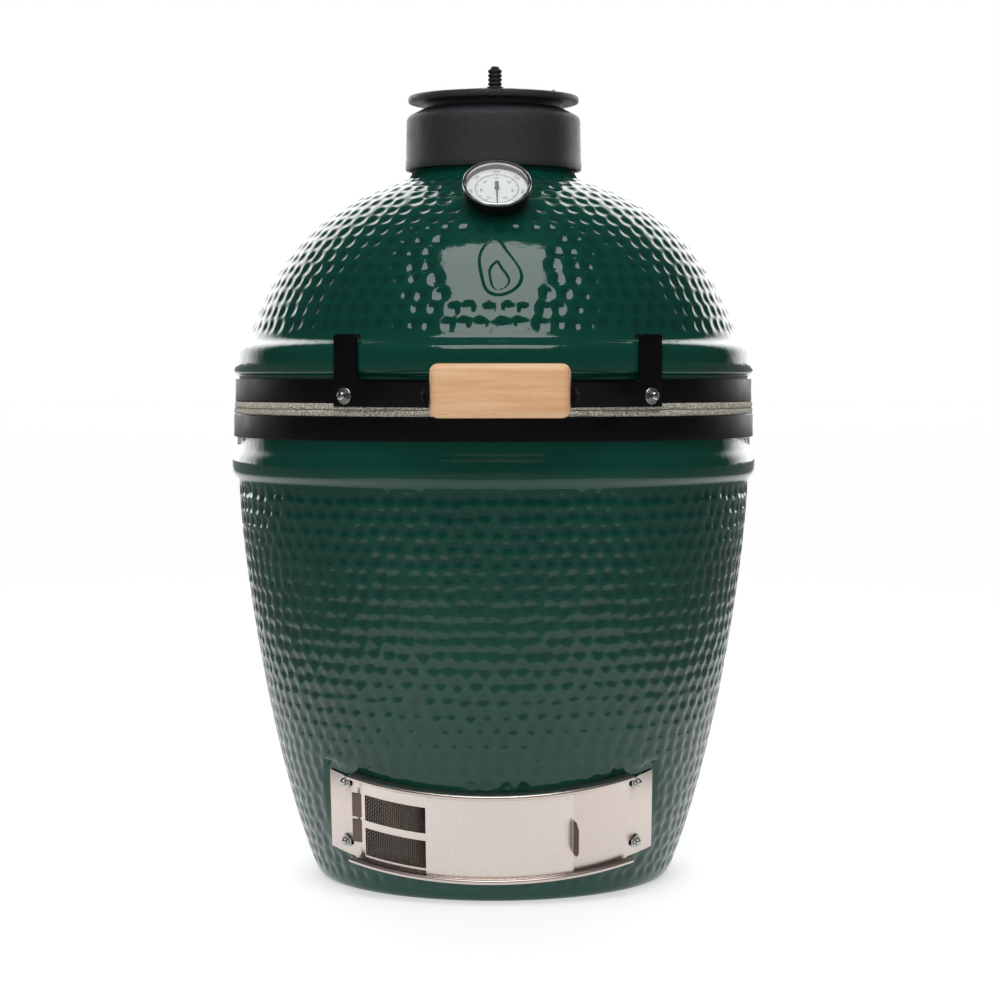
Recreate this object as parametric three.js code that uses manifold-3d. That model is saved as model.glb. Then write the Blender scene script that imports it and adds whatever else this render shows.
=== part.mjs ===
// A kamado: a charcoal grill of thick glazed ceramic in the shape of an egg, as an assembly of
// separate pieces.
// Millimetres, +Z up. The origin is the middle of the flat underside, the front faces -Y, and the
// hinge is at +Y.
//
// From the ground up: a ceramic base holds the firebox, the charcoal grate, the fire ring and the
// cooking grid.
// A steel band round its rim carries the rear hinge, and a second band carries the ceramic dome.
// Air comes in through the draft door low on the front, and leaves through the cast iron top on the
// dome's neck.
import * as THREE from "three";
import { mergeVertices } from "three/addons/utils/BufferGeometryUtils.js";
import Module from "manifold-3d";

const wasm = await Module();
wasm.setup();

// ---------------------------------------------------------------- driving dimensions

const GAP = 0.3; // between pieces that touch
const ROUND = 48; // facets round the large rings

const FOOT_R = 178;
const LIP_R = 273; // the base's widest bead
const SEAT_R = 268; // the base's outside where its band sits
const MOUTH_R = 240; // inside of both rims
const BASE_RIM_Z = 483.5;
const FLOOR_Z = 25;

const FELT = 4; // thickness of each rim gasket
const DOME_RIM_Z = BASE_RIM_Z + 2 * FELT + 3 * GAP;
const DOME_SEAT_R = 266.3;
const DOME_LIP_R = 271.5;
const NECK_R = 86;
const NECK_TOP_Z = 783;
const FLUE_R = 64; // inside of the neck

const BAND = 2.8; // thickness of both steel bands
const BAND_HEIGHT = 23;
const BASE_BAND_Z = 458;
const DOME_BAND_Z = 494.5;
const BASE_BAND_R = SEAT_R + GAP;
const DOME_BAND_R = DOME_SEAT_R + GAP;

const HINGE_Y = 305;
const HINGE_Z = DOME_RIM_Z - 4.5; // level with the joint between the two gaskets
const HINGE_PIN_R = 5;

const BRACKET_ANGLE = 32.4; // of each handle bracket from the front
const BRACKET_R = 272.2; // back of the bracket plates, clear of the dome's lip
const BRACKET_PLATE = 3.5;
const GRIP_LENGTH = 132;
const GRIP_HEIGHT = 51;
const GRIP_DEPTH = 28;
const GRIP_Y = -316;
const GRIP_Z = 507;

const DIAL_CENTRE = [0, -181, 709];
const DIAL_TILT = 43.5; // of the thermometer's axis from upright, towards the front
const DIAL_R = 34;

const CAP_Z = 798; // top face of the cast iron collar
const CAP_R = 89;
const PIVOT_Y = 82; // the bolt that the cap swings on, behind the flue
const KNOB_Y = -79;
const PETALS = 5;

const DRAFT_TILT = 16.6; // the base's lower wall leans out by this much
const DRAFT_TURN = -2; // the draft door sits a little to the left of the middle
const DRAFT_Z = 70; // middle of the draft door's plate
const DRAFT_R = 216.3; // inside of the curved plate, about its own tilted axis
const SHEET = 1.3; // stainless sheet
const DRAFT_AXIS_Z = DRAFT_Z + DRAFT_R * Math.sin(THREE.MathUtils.degToRad(DRAFT_TILT));

// ---------------------------------------------------------------- materials

const finish = (color, roughness, metalness) =>
    new THREE.MeshStandardMaterial({ color, roughness, metalness });
const glaze = finish(0x14493a, 0.12, 0);
const refractory = finish(0xb79f80, 0.85, 0);
const felt = finish(0x8f9184, 0.95, 0);
const blackSteel = finish(0x17151a, 0.45, 0.6);
const castIron = finish(0x2b2d30, 0.7, 0.5);
const stainless = finish(0xc9c2bd, 0.3, 1);
const zinc = finish(0xa8a8a6, 0.3, 1);
const wood = finish(0xd9a878, 0.6, 0);
const silicone = finish(0x141414, 0.75, 0);
const glass = finish(0xeef4f4, 0.03, 0);
const dialWhite = finish(0xe6e9e6, 0.5, 0);
const needleBlack = finish(0x151515, 0.5, 0);

// ---------------------------------------------------------------- solids

const deg = THREE.MathUtils.degToRad;

// A closed geometry as a manifold-3d solid whose faces point out.
function solid(geometry) {
  const bare = new THREE.BufferGeometry().setAttribute("position",
      geometry.getAttribute("position").clone());
  if (geometry.index) bare.setIndex(geometry.index.clone());
  const merged = mergeVertices(bare, 1e-3);
  const index = merged.index.array;
  const kept = [];
  for (let i = 0; i < index.length; i += 3) {
    const [a, b, c] = index.slice(i, i + 3);
    if (a !== b && b !== c && c !== a) kept.push(a, b, c);
  }
  const vertProperties = new Float32Array(merged.getAttribute("position").array);
  const make = (corners) =>
    new wasm.Manifold(new wasm.Mesh({ numProp: 3, vertProperties, triVerts: new Uint32Array(corners) }));
  const made = make(kept);
  return made.volume() > 0 ? made : make([...kept].reverse());
}

const union = (...parts) => parts.reduce((a, b) => a.add(b));
const cut = (body, ...tools) => tools.reduce((a, b) => a.subtract(b), body);

// The solid turned by degrees about X, then Y, then Z, and then moved.
function placed(body, [x, y, z] = [0, 0, 0], [rx, ry, rz] = [0, 0, 0]) {
  const turn = new THREE.Quaternion().setFromEuler(new THREE.Euler(deg(rx), deg(ry), deg(rz), "ZYX"));
  const matrix = new THREE.Matrix4().compose(new THREE.Vector3(x, y, z), turn,
      new THREE.Vector3(1, 1, 1));
  return body.transform(matrix.elements);
}

const mirrored = (body) => body.mirror([1, 0, 0]);

// An outline of [radius, z] points turned about Z. One that doesn't start and end on the axis is
// closed on itself.
function turned(outline, facets = ROUND) {
  const points = outline.map(([r, z]) => new THREE.Vector2(r, z));
  const first = points[0];
  if (first.x > 0 || points.at(-1).x > 0) points.push(first.clone());
  return solid(new THREE.LatheGeometry(points, facets).rotateX(Math.PI / 2));
}

const pointsOf = (path, steps) => path.getPoints(steps).map((p) => [p.x, p.y]);

// A shape in XY, raised from z0 to z1.
function raised(shape, z0, z1, steps = 8) {
  const geometry = new THREE.ExtrudeGeometry(shape,
      { depth: z1 - z0, bevelEnabled: false, curveSegments: steps });
  return solid(geometry.translate(0, 0, z0));
}

const outlineShape = (points) => new THREE.Shape(points.map(([x, y]) => new THREE.Vector2(x, y)));

const box = ([x0, y0, z0], [x1, y1, z1]) =>
  placed(solid(new THREE.BoxGeometry(x1 - x0, y1 - y0, z1 - z0)),
      [(x0 + x1) / 2, (y0 + y1) / 2, (z0 + z1) / 2]);

const rod = (radius, z0, z1, facets = 12) =>
  placed(solid(new THREE.CylinderGeometry(radius, radius, z1 - z0, facets)), [0, 0, (z0 + z1) / 2],
      [90, 0, 0]);

// A curved plate about Z. Angles are from the front, -Y, and grow towards +X. Every plate bends at the
// same multiples of the step, so that nested plates keep an even distance.
function arcPlate(rIn, rOut, from, to, z0, z1, step = 4) {
  const angles = [from];
  for (let k = Math.floor(from / step) + 1; k * step < to - 0.01; k++) if (k * step > from + 0.01) angles.push(k * step);
  angles.push(to);
  const at = (r, angle) => {
    const off = angle - (Math.floor(angle / step) + 0.5) * step;
    const flat = (r * Math.cos(deg(step / 2))) / Math.cos(deg(off));
    return [flat * Math.sin(deg(angle)), -flat * Math.cos(deg(angle))];
  };
  const points = [...angles.map((angle) => at(rOut, angle)),
      ...angles.reverse().map((angle) => at(rIn, angle))];
  return raised(outlineShape(points), z0, z1);
}

// Moves a solid made about the Z axis so that its +Z points out from the grill's axis, at an angle
// from the front.
const radial = (body, angle, r, z) => placed(placed(body, [0, 0, 0], [90, 0, 0]),
    [r * Math.sin(deg(angle)), -r * Math.cos(deg(angle)), z], [0, 0, angle]);

// A hexagon-head bolt along Z: the washer rests on z 0, the head is above it and the shank below.
function bolt(shankR, reach, headR, headHeight, washerR = headR + 2) {
  const head = rod(headR, 1.4, 1.4 + headHeight, 6);
  return union(rod(shankR, -reach, 1, 8), rod(washerR, 0, 1.5, 12), head,
      rod(headR * 0.6, 1, 2.6 + headHeight, 6));
}

// ---------------------------------------------------------------- the assembly

const grill = new THREE.Group();

// Adds one named piece to a group, by default the grill itself.
function add(name, body, material, group = grill) {
  const source = body.getMesh();
  const geometry = new THREE.BufferGeometry();
  geometry.setAttribute("position",
      new THREE.BufferAttribute(new Float32Array(source.vertProperties), 3));
  geometry.setIndex(new THREE.BufferAttribute(new Uint32Array(source.triVerts), 1));
  geometry.computeVertexNormals();
  const mesh = new THREE.Mesh(geometry, material);
  mesh.name = name;
  group.add(mesh);
  return mesh;
}

// Draft assembly's own frame: its Z is the tilted axis that the curved doors slide about.
const draft = new THREE.Group();
draft.position.set(0, 0, DRAFT_AXIS_Z);
draft.rotation.set(deg(DRAFT_TILT), 0, deg(DRAFT_TURN), "ZYX");
grill.add(draft);
const inDraft = (body) => placed(body, [0, 0, DRAFT_AXIS_Z], [DRAFT_TILT, 0, DRAFT_TURN]);

// Thermometer's own frame: Z points out of the dial's face, and Y is up the dial.
const thermometer = new THREE.Group();
thermometer.position.set(...DIAL_CENTRE);
thermometer.rotation.x = deg(DIAL_TILT);
grill.add(thermometer);
const inThermometer = (body) => placed(body, DIAL_CENTRE, [DIAL_TILT, 0, 0]);

// ---- ceramic base: a thick bowl with a bead under the band, and an air opening low on the front

const AIR = { from: -34.8, to: -1, low: -39, high: 28 }; // opening in the draft plate
const DRAFT_SCREWS = [[-41.5, 34], [41.5, 34], [-41.5, -31], [41.5, -31]]; // angle and height of each

function baseShell() {
  const outer = new THREE.Path();
  outer.moveTo(0, 0);
  outer.lineTo(FOOT_R, 0);
  outer.quadraticCurveTo(FOOT_R + 6.5, 1, 187.5, 11);
  outer.bezierCurveTo(232.7, 123.1, 263.3, 327.5, 266, 412);
  outer.bezierCurveTo(266, 417, LIP_R, 418, LIP_R, 425);
  outer.lineTo(LIP_R, 438);
  outer.bezierCurveTo(LIP_R, 445, SEAT_R, 444, SEAT_R, 450);
  const inner = new THREE.Path();
  inner.moveTo(MOUTH_R, 432);
  inner.lineTo(246, 405);
  inner.bezierCurveTo(243, 300, 213, 112, 178, 46);
  inner.quadraticCurveTo(172, FLOOR_Z, 156, FLOOR_Z);
  inner.lineTo(0, FLOOR_Z);
  const outline = [...pointsOf(outer, 4), [SEAT_R, BASE_RIM_Z], [MOUTH_R, BASE_RIM_Z],
      ...pointsOf(inner, 3)];
  const seat = arcPlate(DRAFT_R - GAP, DRAFT_R + 40, -49, 49, -46.5, 49);
  const opening = arcPlate(150, DRAFT_R + 20, AIR.from - 1, AIR.to + 1, AIR.low - 1.5, AIR.high + 1.5);
  const plugs = DRAFT_SCREWS.map(([angle, h]) => radial(rod(3, -12, 5, 8), angle, DRAFT_R, h));
  return cut(turned(outline), inDraft(seat), inDraft(opening), ...plugs.map(inDraft));
}
add("base_shell", baseShell(), glaze);

// ---- what the base holds: firebox, charcoal grate, fire ring and cooking grid

const GRATE_Z = 104;
const RING_Z = 300;
const GRID_Z = 452;

function firebox() {
  const outline = [[142, FLOOR_Z + GAP], [174, 90], [203, 200], [211, RING_Z], [196, RING_Z],
      [187, 220], [167, 150],
    [145, GRATE_Z], [122, GRATE_Z], [122, FLOOR_Z + GAP]];
  const ashDoor = arcPlate(100, 240, AIR.from - 3, AIR.to + 4, FLOOR_Z - 2, 98);
  const airHoles = [...Array(8).keys()].map((i) => radial(rod(10, 100, 260, 8), 22.5 + 45 * i, 0, 190));
  return cut(turned(outline, 40), ashDoor, ...airHoles);
}
add("firebox", firebox(), refractory);

function charcoalGrate() {
  const ring = (x, y, r, points) =>
    [...Array(points).keys()].map((i) => [x + r * Math.cos((2 * Math.PI * i) / points),
        y + r * Math.sin((2 * Math.PI * i) / points)]);
  const shape = outlineShape(ring(0, 0, 130, 40));
  const hole = (x, y) => shape.holes.push(outlineShape(ring(x, y, 9, 6).reverse()));
  hole(0, 0);
  for (const [count, r] of [[6, 38], [12, 72], [18, 106]])
    for (let i = 0; i < count; i++) hole(r * Math.cos((2 * Math.PI * i) / count),
        r * Math.sin((2 * Math.PI * i) / count));
  return raised(shape, GRATE_Z + GAP, GRATE_Z + 10);
}
add("charcoal_grate", charcoalGrate(), castIron);

add("fire_ring", turned([[221, RING_Z + GAP], [234, GRID_Z - 8], [234, GRID_Z], [218, GRID_Z],
    [204, RING_Z + GAP]]), refractory);

function cookingGrid() {
  const R = 228;
  const WIRE = 3;
  const PITCH = 24;
  const z = GRID_Z + GAP + 2 * WIRE;
  const hoop = turned([[R - 6, z - 6], [R, z - 6], [R, z], [R - 6, z]], 40);
  const wires = [];
  for (let x = -8.5 * PITCH; x < R - 10; x += PITCH) {
    const half = Math.sqrt((R - 3) ** 2 - x ** 2);
    wires.push(placed(rod(WIRE, -half, half, 4), [x, 0, z - WIRE + 1], [90, 0, 0]));
  }
  const braces = [-110, 110].map((y) => {
    const half = Math.sqrt(208 ** 2 - y ** 2); // they end inside the fire ring
    return placed(rod(WIRE, -half, half, 4), [0, y, z - WIRE - 2], [0, 90, 0]);
  });
  return union(hoop, ...wires, ...braces);
}
add("cooking_grid", cookingGrid(), stainless);

// ---- rim gaskets, glued to the two ceramic rims

const gasket = (z) => turned([[MOUTH_R + 1, z], [SEAT_R - 2, z], [SEAT_R - 2, z + FELT],
    [MOUTH_R + 1, z + FELT]]);
add("base_gasket", gasket(BASE_RIM_Z + GAP), felt);
add("dome_gasket", gasket(BASE_RIM_Z + FELT + 2 * GAP), felt);

// ---- ceramic dome, with the neck that the cast iron top stands on

const STEM_R = 3;

function domeShell() {
  const outer = new THREE.Path();
  outer.moveTo(DOME_SEAT_R, 519.5);
  outer.quadraticCurveTo(DOME_SEAT_R - 2, 523, DOME_LIP_R, 526);
  outer.lineTo(DOME_LIP_R, 545);
  outer.bezierCurveTo(DOME_LIP_R, 557, 257, 552, 256, 562);
  outer.bezierCurveTo(229.2, 636.4, 191.5, 691.7, 96, 724);
  outer.quadraticCurveTo(87, 727, NECK_R, 735);
  const inner = new THREE.Path();
  inner.moveTo(FLUE_R, 708);
  inner.quadraticCurveTo(FLUE_R + 2, 705, 78, 703);
  inner.bezierCurveTo(176, 676, 214, 626, 238, 552);
  inner.quadraticCurveTo(MOUTH_R, 535, MOUTH_R, 518);
  const outline = [[MOUTH_R, DOME_RIM_Z], [DOME_SEAT_R, DOME_RIM_Z], ...pointsOf(outer, 4),
    [NECK_R, NECK_TOP_Z], [FLUE_R, NECK_TOP_Z], ...pointsOf(inner, 3)];
  return cut(turned(outline), inThermometer(rod(STEM_R + 2, -90, 10)));
}
add("dome_shell", domeShell(), glaze);

// ---- steel bands: open rings, closed at the back by the hinge plates that their ends are bolted to

const BAND_SPLIT = 3; // half the gap at the back, in degrees
const BASE_BOLT_ANGLE = 7;
const DOME_BOLT_ANGLE = 4.8;
const BASE_BOLT_Z = BASE_BAND_Z + BAND_HEIGHT / 2;
const DOME_BOLT_Z = DOME_BAND_Z + BAND_HEIGHT / 2;
const BOLT_R = 4;

const band = (r, z) => arcPlate(r, r + BAND, -180 + BAND_SPLIT, 180 - BAND_SPLIT, z,
    z + BAND_HEIGHT, 7.5);
const boltHole = (angle, z) => radial(rod(BOLT_R + GAP, 250, 290, 8), angle, 0, z);
const rearHoles = (angle, z) => [boltHole(180 - angle, z), boltHole(180 + angle, z)];
add("base_band", cut(band(BASE_BAND_R, BASE_BAND_Z), ...rearHoles(BASE_BOLT_ANGLE, BASE_BOLT_Z)),
    blackSteel);
const frontHoles = [-BRACKET_ANGLE, BRACKET_ANGLE].map((angle) => boltHole(angle, 501.5));
add("dome_band", cut(band(DOME_BAND_R, DOME_BAND_Z), ...rearHoles(DOME_BOLT_ANGLE, DOME_BOLT_Z),
    ...frontHoles), blackSteel);

// ---- rear hinge: two plates with cheeks that turn on one pin, and a pair of coil springs that
// help to lift the dome

const CHEEK = 4;
const HINGE_BOSS_R = 12;

// A cheek in the YZ plane: a web that runs from the plate to a boss round the pin.
function cheek(x, webLow, webHigh, plateR) {
  const plateY = Math.sqrt(plateR ** 2 - Math.min(Math.abs(x), Math.abs(x + CHEEK)) ** 2);
  const boss = new THREE.Path().absarc(HINGE_Y, HINGE_Z, HINGE_BOSS_R, 0, 2 * Math.PI).getPoints(16);
  const round = raised(outlineShape(boss.slice(0, -1).map((p) => [p.x, p.y])), 0, CHEEK);
  const web = raised(outlineShape([[plateY, webLow], [HINGE_Y - 4, HINGE_Z - 11],
      [HINGE_Y + 4, HINGE_Z + 11], [plateY, webHigh]]), 0, CHEEK);
  return placed(placed(union(round, web), [0, 0, 0], [90, 0, 90]), [x, 0, 0]);
}

function hingeLeaf(r, halfAngle, z0, z1, cheekX, boltAngle, boltZ) {
  const plate = arcPlate(r, r + CHEEK, 180 - halfAngle, 180 + halfAngle, z0, z1);
  const sides = [cheekX, -cheekX - CHEEK].map((x) => cheek(x, z0 + 1, z1 - 1, r + 0.8));
  const bore = placed(rod(HINGE_PIN_R + GAP, -70, 70, 16), [0, HINGE_Y, HINGE_Z], [0, 90, 0]);
  return cut(union(plate, ...sides), bore, ...rearHoles(boltAngle, boltZ));
}
const LOWER_LEAF_R = BASE_BAND_R + BAND + GAP;
const UPPER_LEAF_R = DOME_BAND_R + BAND + GAP;
add("hinge_lower_leaf", hingeLeaf(LOWER_LEAF_R, 11, 455, 483, 43, BASE_BOLT_ANGLE, BASE_BOLT_Z),
    blackSteel);
add("hinge_upper_leaf", hingeLeaf(UPPER_LEAF_R, 8.6, 493, 521, 37, DOME_BOLT_ANGLE, DOME_BOLT_Z),
    blackSteel);

const acrossHinge = (body) => placed(body, [0, HINGE_Y, HINGE_Z], [0, 90, 0]);
add("hinge_pin", acrossHinge(union(rod(HINGE_PIN_R, -53, 48), rod(8.5, 47.6, 53, 6))), zinc);
add("hinge_pin_nut", acrossHinge(cut(rod(8.5, -53, -47.6, 6), rod(HINGE_PIN_R + GAP, -60, -40))), zinc);

// A torsion spring: coils round the pin, with one leg against the upper plate and one against the
// lower plate.
function hingeSpring() {
  const COIL_R = 9.6;
  const WIRE = 1.5;
  const FIRST = deg(225); // where the upper leg leaves the coil
  const SWEEP = deg(270 + 4 * 360);
  const LEG = 0.1; // share of the curve in each leg
  class Coil extends THREE.Curve {
    getPoint(t, target = new THREE.Vector3()) {
      const turn = THREE.MathUtils.clamp((t - LEG) / (1 - 2 * LEG), 0, 1);
      const angle = FIRST + SWEEP * turn;
      const tangent = new THREE.Vector3(0, -Math.sin(angle), Math.cos(angle));
      const out = Math.min(0, t / LEG - 1) + Math.max(0, (t - 1) / LEG + 1);
      target.set(4.5 + 16.5 * turn, COIL_R * Math.cos(angle), COIL_R * Math.sin(angle));
      return target.addScaledVector(tangent, 27 * out);
    }
  }
  const section = new THREE.Shape().absarc(0, 0, WIRE, 0, 2 * Math.PI);
  const sweep = { extrudePath: new Coil(), steps: 60, curveSegments: 3, bevelEnabled: false };
  return placed(solid(new THREE.ExtrudeGeometry(section, sweep)), [0, HINGE_Y, HINGE_Z]);
}
add("hinge_spring_right", hingeSpring(), zinc);
add("hinge_spring_left", mirrored(hingeSpring()), zinc);

for (const [name, angle] of [["left", 180 + BASE_BOLT_ANGLE], ["right", 180 - BASE_BOLT_ANGLE]])
  add(`base_band_bolt_${name}`, radial(bolt(BOLT_R, CHEEK + BAND + GAP, 6.5, 4.5), angle,
      LOWER_LEAF_R + CHEEK + GAP, BASE_BOLT_Z), zinc);
for (const [name, angle] of [["left", 180 + DOME_BOLT_ANGLE], ["right", 180 - DOME_BOLT_ANGLE]])
  add(`dome_band_bolt_${name}`, radial(bolt(BOLT_R, CHEEK + BAND + GAP, 6.5, 4.5), angle,
      UPPER_LEAF_R + CHEEK + GAP, DOME_BOLT_Z), zinc);

// ---- handle: a wooden grip between two steel brackets that are bolted to the dome's band and hook
// over its lip

const ARM = { low: 491, high: 514 }; // height of the arm that reaches the grip
const ARM_BOLT_Z = 501.5;
const HOOK_TOP_Z = 561;
const GRIP_END = GRIP_LENGTH / 2;

function handleBracket() {
  const HALF = 13; // half the upright's width
  const BEND_U = 34; // where the arm leaves the plate's plane, measured towards the grip
  const plate = new THREE.Shape();
  plate.moveTo(-HALF, ARM.low);
  plate.lineTo(BEND_U, ARM.low);
  plate.lineTo(BEND_U, ARM.high);
  plate.lineTo(HALF + 9, ARM.high);
  plate.quadraticCurveTo(HALF, ARM.high, HALF, ARM.high + 9);
  plate.lineTo(HALF, HOOK_TOP_Z - 4);
  plate.quadraticCurveTo(HALF, HOOK_TOP_Z, HALF - 4, HOOK_TOP_Z);
  plate.lineTo(4 - HALF, HOOK_TOP_Z);
  plate.quadraticCurveTo(-HALF, HOOK_TOP_Z, -HALF, HOOK_TOP_Z - 4);
  const upright = placed(raised(plate, 0, BRACKET_PLATE, 4), [0, 0, 0], [90, 0, 0]); // its back is on y 0
  const hook = box([4 - HALF, -BRACKET_PLATE, HOOK_TOP_Z - BRACKET_PLATE], [HALF - 4, 11, HOOK_TOP_Z]);
  const onDome = placed(union(upright, hook),
      [-BRACKET_R * Math.sin(deg(BRACKET_ANGLE)), -BRACKET_R * Math.cos(deg(BRACKET_ANGLE)), 0],
      [0, 0, -BRACKET_ANGLE]);
  // The arm's plan: from the bend to the flange on the grip's end.
  const start = new THREE.Vector2(BEND_U, 0).rotateAround(new THREE.Vector2(), -deg(BRACKET_ANGLE));
  const bend = [start.x - BRACKET_R * Math.sin(deg(BRACKET_ANGLE)),
      start.y - BRACKET_R * Math.cos(deg(BRACKET_ANGLE))];
  const out = [-Math.sin(deg(BRACKET_ANGLE)) * BRACKET_PLATE,
      -Math.cos(deg(BRACKET_ANGLE)) * BRACKET_PLATE];
  const flange = -GRIP_END - GAP; // x of the flange's face against the grip
  const plan = [[bend[0] - 2, bend[1] + 1], [flange - BRACKET_PLATE * 0.4, GRIP_Y + 11.5],
      [flange, GRIP_Y + 11], [flange, GRIP_Y - 11],
    [flange - BRACKET_PLATE, GRIP_Y - 11], [flange - BRACKET_PLATE, GRIP_Y + 7.5],
        [bend[0] + out[0] - 2, bend[1] + out[1] + 1]];
  const arm = raised(outlineShape(plan), ARM.low, ARM.high);
  const boltBore = radial(rod(BOLT_R + GAP, 250, 290, 8), -BRACKET_ANGLE, 0, ARM_BOLT_Z);
  const screwBore = placed(rod(3 + GAP, -30, 0, 8), [-GRIP_END + 20, GRIP_Y, 502.5], [0, 90, 0]);
  return cut(union(onDome, arm), boltBore, screwBore);
}
const leftBracket = handleBracket();
add("handle_bracket_left", leftBracket, blackSteel);
add("handle_bracket_right", mirrored(leftBracket), blackSteel);

function handleGrip() {
  const h = GRIP_HEIGHT / 2;
  const d = GRIP_DEPTH / 2;
  const r = 11;
  const section = new THREE.Shape();
  section.moveTo(-d + r, -h);
  section.lineTo(d - r, -h);
  section.quadraticCurveTo(d, -h, d, -h + r);
  section.lineTo(d, h - r);
  section.quadraticCurveTo(d, h, d - r, h);
  section.lineTo(-d + r, h);
  section.quadraticCurveTo(-d, h, -d, h - r);
  section.lineTo(-d, -h + r);
  section.quadraticCurveTo(-d, -h, -d + r, -h);
  const bar = placed(raised(section, -GRIP_END, GRIP_END, 5), [0, GRIP_Y, GRIP_Z], [90, 0, 90]);
  const pilot = placed(rod(3 + GAP, GRIP_END - 20, GRIP_END + 5, 8), [0, GRIP_Y, 502.5], [0, 90, 0]);
  return cut(bar, pilot, mirrored(pilot));
}
add("handle_grip", handleGrip(), wood);

for (const [name, side] of [["left", -1], ["right", 1]]) {
  const angle = side * BRACKET_ANGLE;
  const collar = cut(rod(9, 0, BRACKET_R - DOME_BAND_R - BAND - 2 * GAP, 16), rod(BOLT_R + GAP, -2, 8));
  add(`bracket_spacer_${name}`, radial(collar, angle, DOME_BAND_R + BAND + GAP, ARM_BOLT_Z), zinc);
  const reach = BRACKET_R + BRACKET_PLATE - DOME_BAND_R;
  add(`bracket_bolt_${name}`, radial(bolt(BOLT_R, reach, 6.2, 4.5, 8), angle,
      BRACKET_R + BRACKET_PLATE + GAP, ARM_BOLT_Z), zinc);
  const screw = placed(bolt(3, 18, 4.6, 2.5, 6.5),
      [GRIP_END + BRACKET_PLATE + 2 * GAP, GRIP_Y, 502.5], [0, 90, 0]);
  add(`handle_screw_${name}`, side > 0 ? screw : mirrored(screw), zinc);
}

// ---- thermometer: a can on a long stem, pushed through the dome and held by a spring clip inside

add("thermometer_case", turned([[4, -12], [32, -12], [DIAL_R, -10], [DIAL_R, 0.4],
    [DIAL_R - 1, 1.5], [DIAL_R - 3, 1.5],
  [DIAL_R - 3, -8], [4, -8]], 24), zinc, thermometer);
add("thermometer_dial", rod(DIAL_R - 3.3, -7.7, -6.7, 24), dialWhite, thermometer);
const pointer = raised(outlineShape([[-0.6, -24], [0.6, -24], [1.1, 0], [1.9, 2], [1.9, 10],
    [-1.9, 10], [-1.9, 2], [-1.1, 0]]), -5.9, -5.2);
add("thermometer_needle", union(pointer, rod(2.4, -6.3, -4.6, 16)), needleBlack, thermometer);
add("thermometer_lens", turned([[0, -2.4], [DIAL_R - 3.4, -2.4], [DIAL_R - 3.4, -1], [20, 0],
    [0, 0.6]], 24), glass, thermometer);
add("thermometer_stem", turned([[0, -11], [3.6, -11], [3.6, -12.3], [7, -12.3], [7, -18],
    [STEM_R, -19], [STEM_R, -86], [0, -89]], 12), zinc, thermometer);
add("thermometer_clip", turned([[STEM_R + GAP, -66], [11, -64], [11, -62.6], [STEM_R + GAP, -64.6]],
    16), zinc, thermometer);

// ---- cast iron top: a collar over the neck, a cap that swings aside, and a daisy wheel for fine control

const FLANGE_Z = NECK_TOP_Z + 3 + 2 * GAP; // underside of the collar's flange
const DISC_Z = 803.6;
const DISC_TOP_Z = 811.4;

add("vent_gasket", turned([[FLUE_R + 1, NECK_TOP_Z + GAP], [NECK_R - 1, NECK_TOP_Z + GAP],
    [NECK_R - 1, NECK_TOP_Z + GAP + 3],
  [FLUE_R + 1, NECK_TOP_Z + GAP + 3]], 32), felt);

function ventCollar() {
  const ring = turned([[87.3, 734], [91, 734], [92, 735.5], [92, 741], [90.8, 786], [88.5, 791],
      [74, CAP_Z], [60, CAP_Z],
    [60, FLANGE_Z], [87.3, FLANGE_Z]]);
  const lug = placed(rod(11, FLANGE_Z, CAP_Z, 16), [0, PIVOT_Y, 0]);
  const thread = placed(rod(BOLT_R + GAP, FLANGE_Z + 1.5, CAP_Z + 10), [0, PIVOT_Y, 0]);
  return cut(union(ring, lug), thread);
}
add("vent_collar", ventCollar(), castIron);

// One petal-shaped hole: round at both ends, wider away from the middle.
function petal(angle, z0, z1) {
  const shape = new THREE.Shape();
  const half = deg(15);
  shape.absarc(22, 0, 6, Math.PI / 2 + half, 1.5 * Math.PI - half);
  shape.absarc(40, 0, 10, -Math.PI / 2 - half, Math.PI / 2 + half);
  return placed(raised(shape, z0, z1, 5), [0, 0, 0], [0, 0, angle]);
}
const petals = (first, z0, z1) => [...Array(PETALS).keys()].map((i) =>
    petal(first + (360 / PETALS) * i, z0, z1));

function ventCap() {
  const disc = turned([[0, DISC_Z], [86, DISC_Z], [CAP_R, DISC_Z + 2.6], [CAP_R, DISC_Z + 5.4],
      [86.6, DISC_TOP_Z], [0, DISC_TOP_Z]]);
  const skirt = turned([[62.5, CAP_Z + GAP], [71.5, CAP_Z + GAP], [71.5, DISC_Z + 1],
      [62.5, DISC_Z + 1]]);
  const boss = placed(rod(9, CAP_Z + GAP, DISC_Z + 1, 16), [0, PIVOT_Y, 0]);
  const bores = [PIVOT_Y, 0].map((y) => placed(rod(BOLT_R + GAP, CAP_Z - 5, DISC_TOP_Z + 5), [0, y, 0]));
  const knobBore = placed(rod(3 + GAP, DISC_Z + 1.6, DISC_TOP_Z + 5), [0, KNOB_Y, 0]);
  return cut(union(disc, skirt, boss), ...petals(90, DISC_Z - 2, DISC_TOP_Z + 2), ...bores, knobBore);
}
add("vent_cap", ventCap(), castIron);

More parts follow.
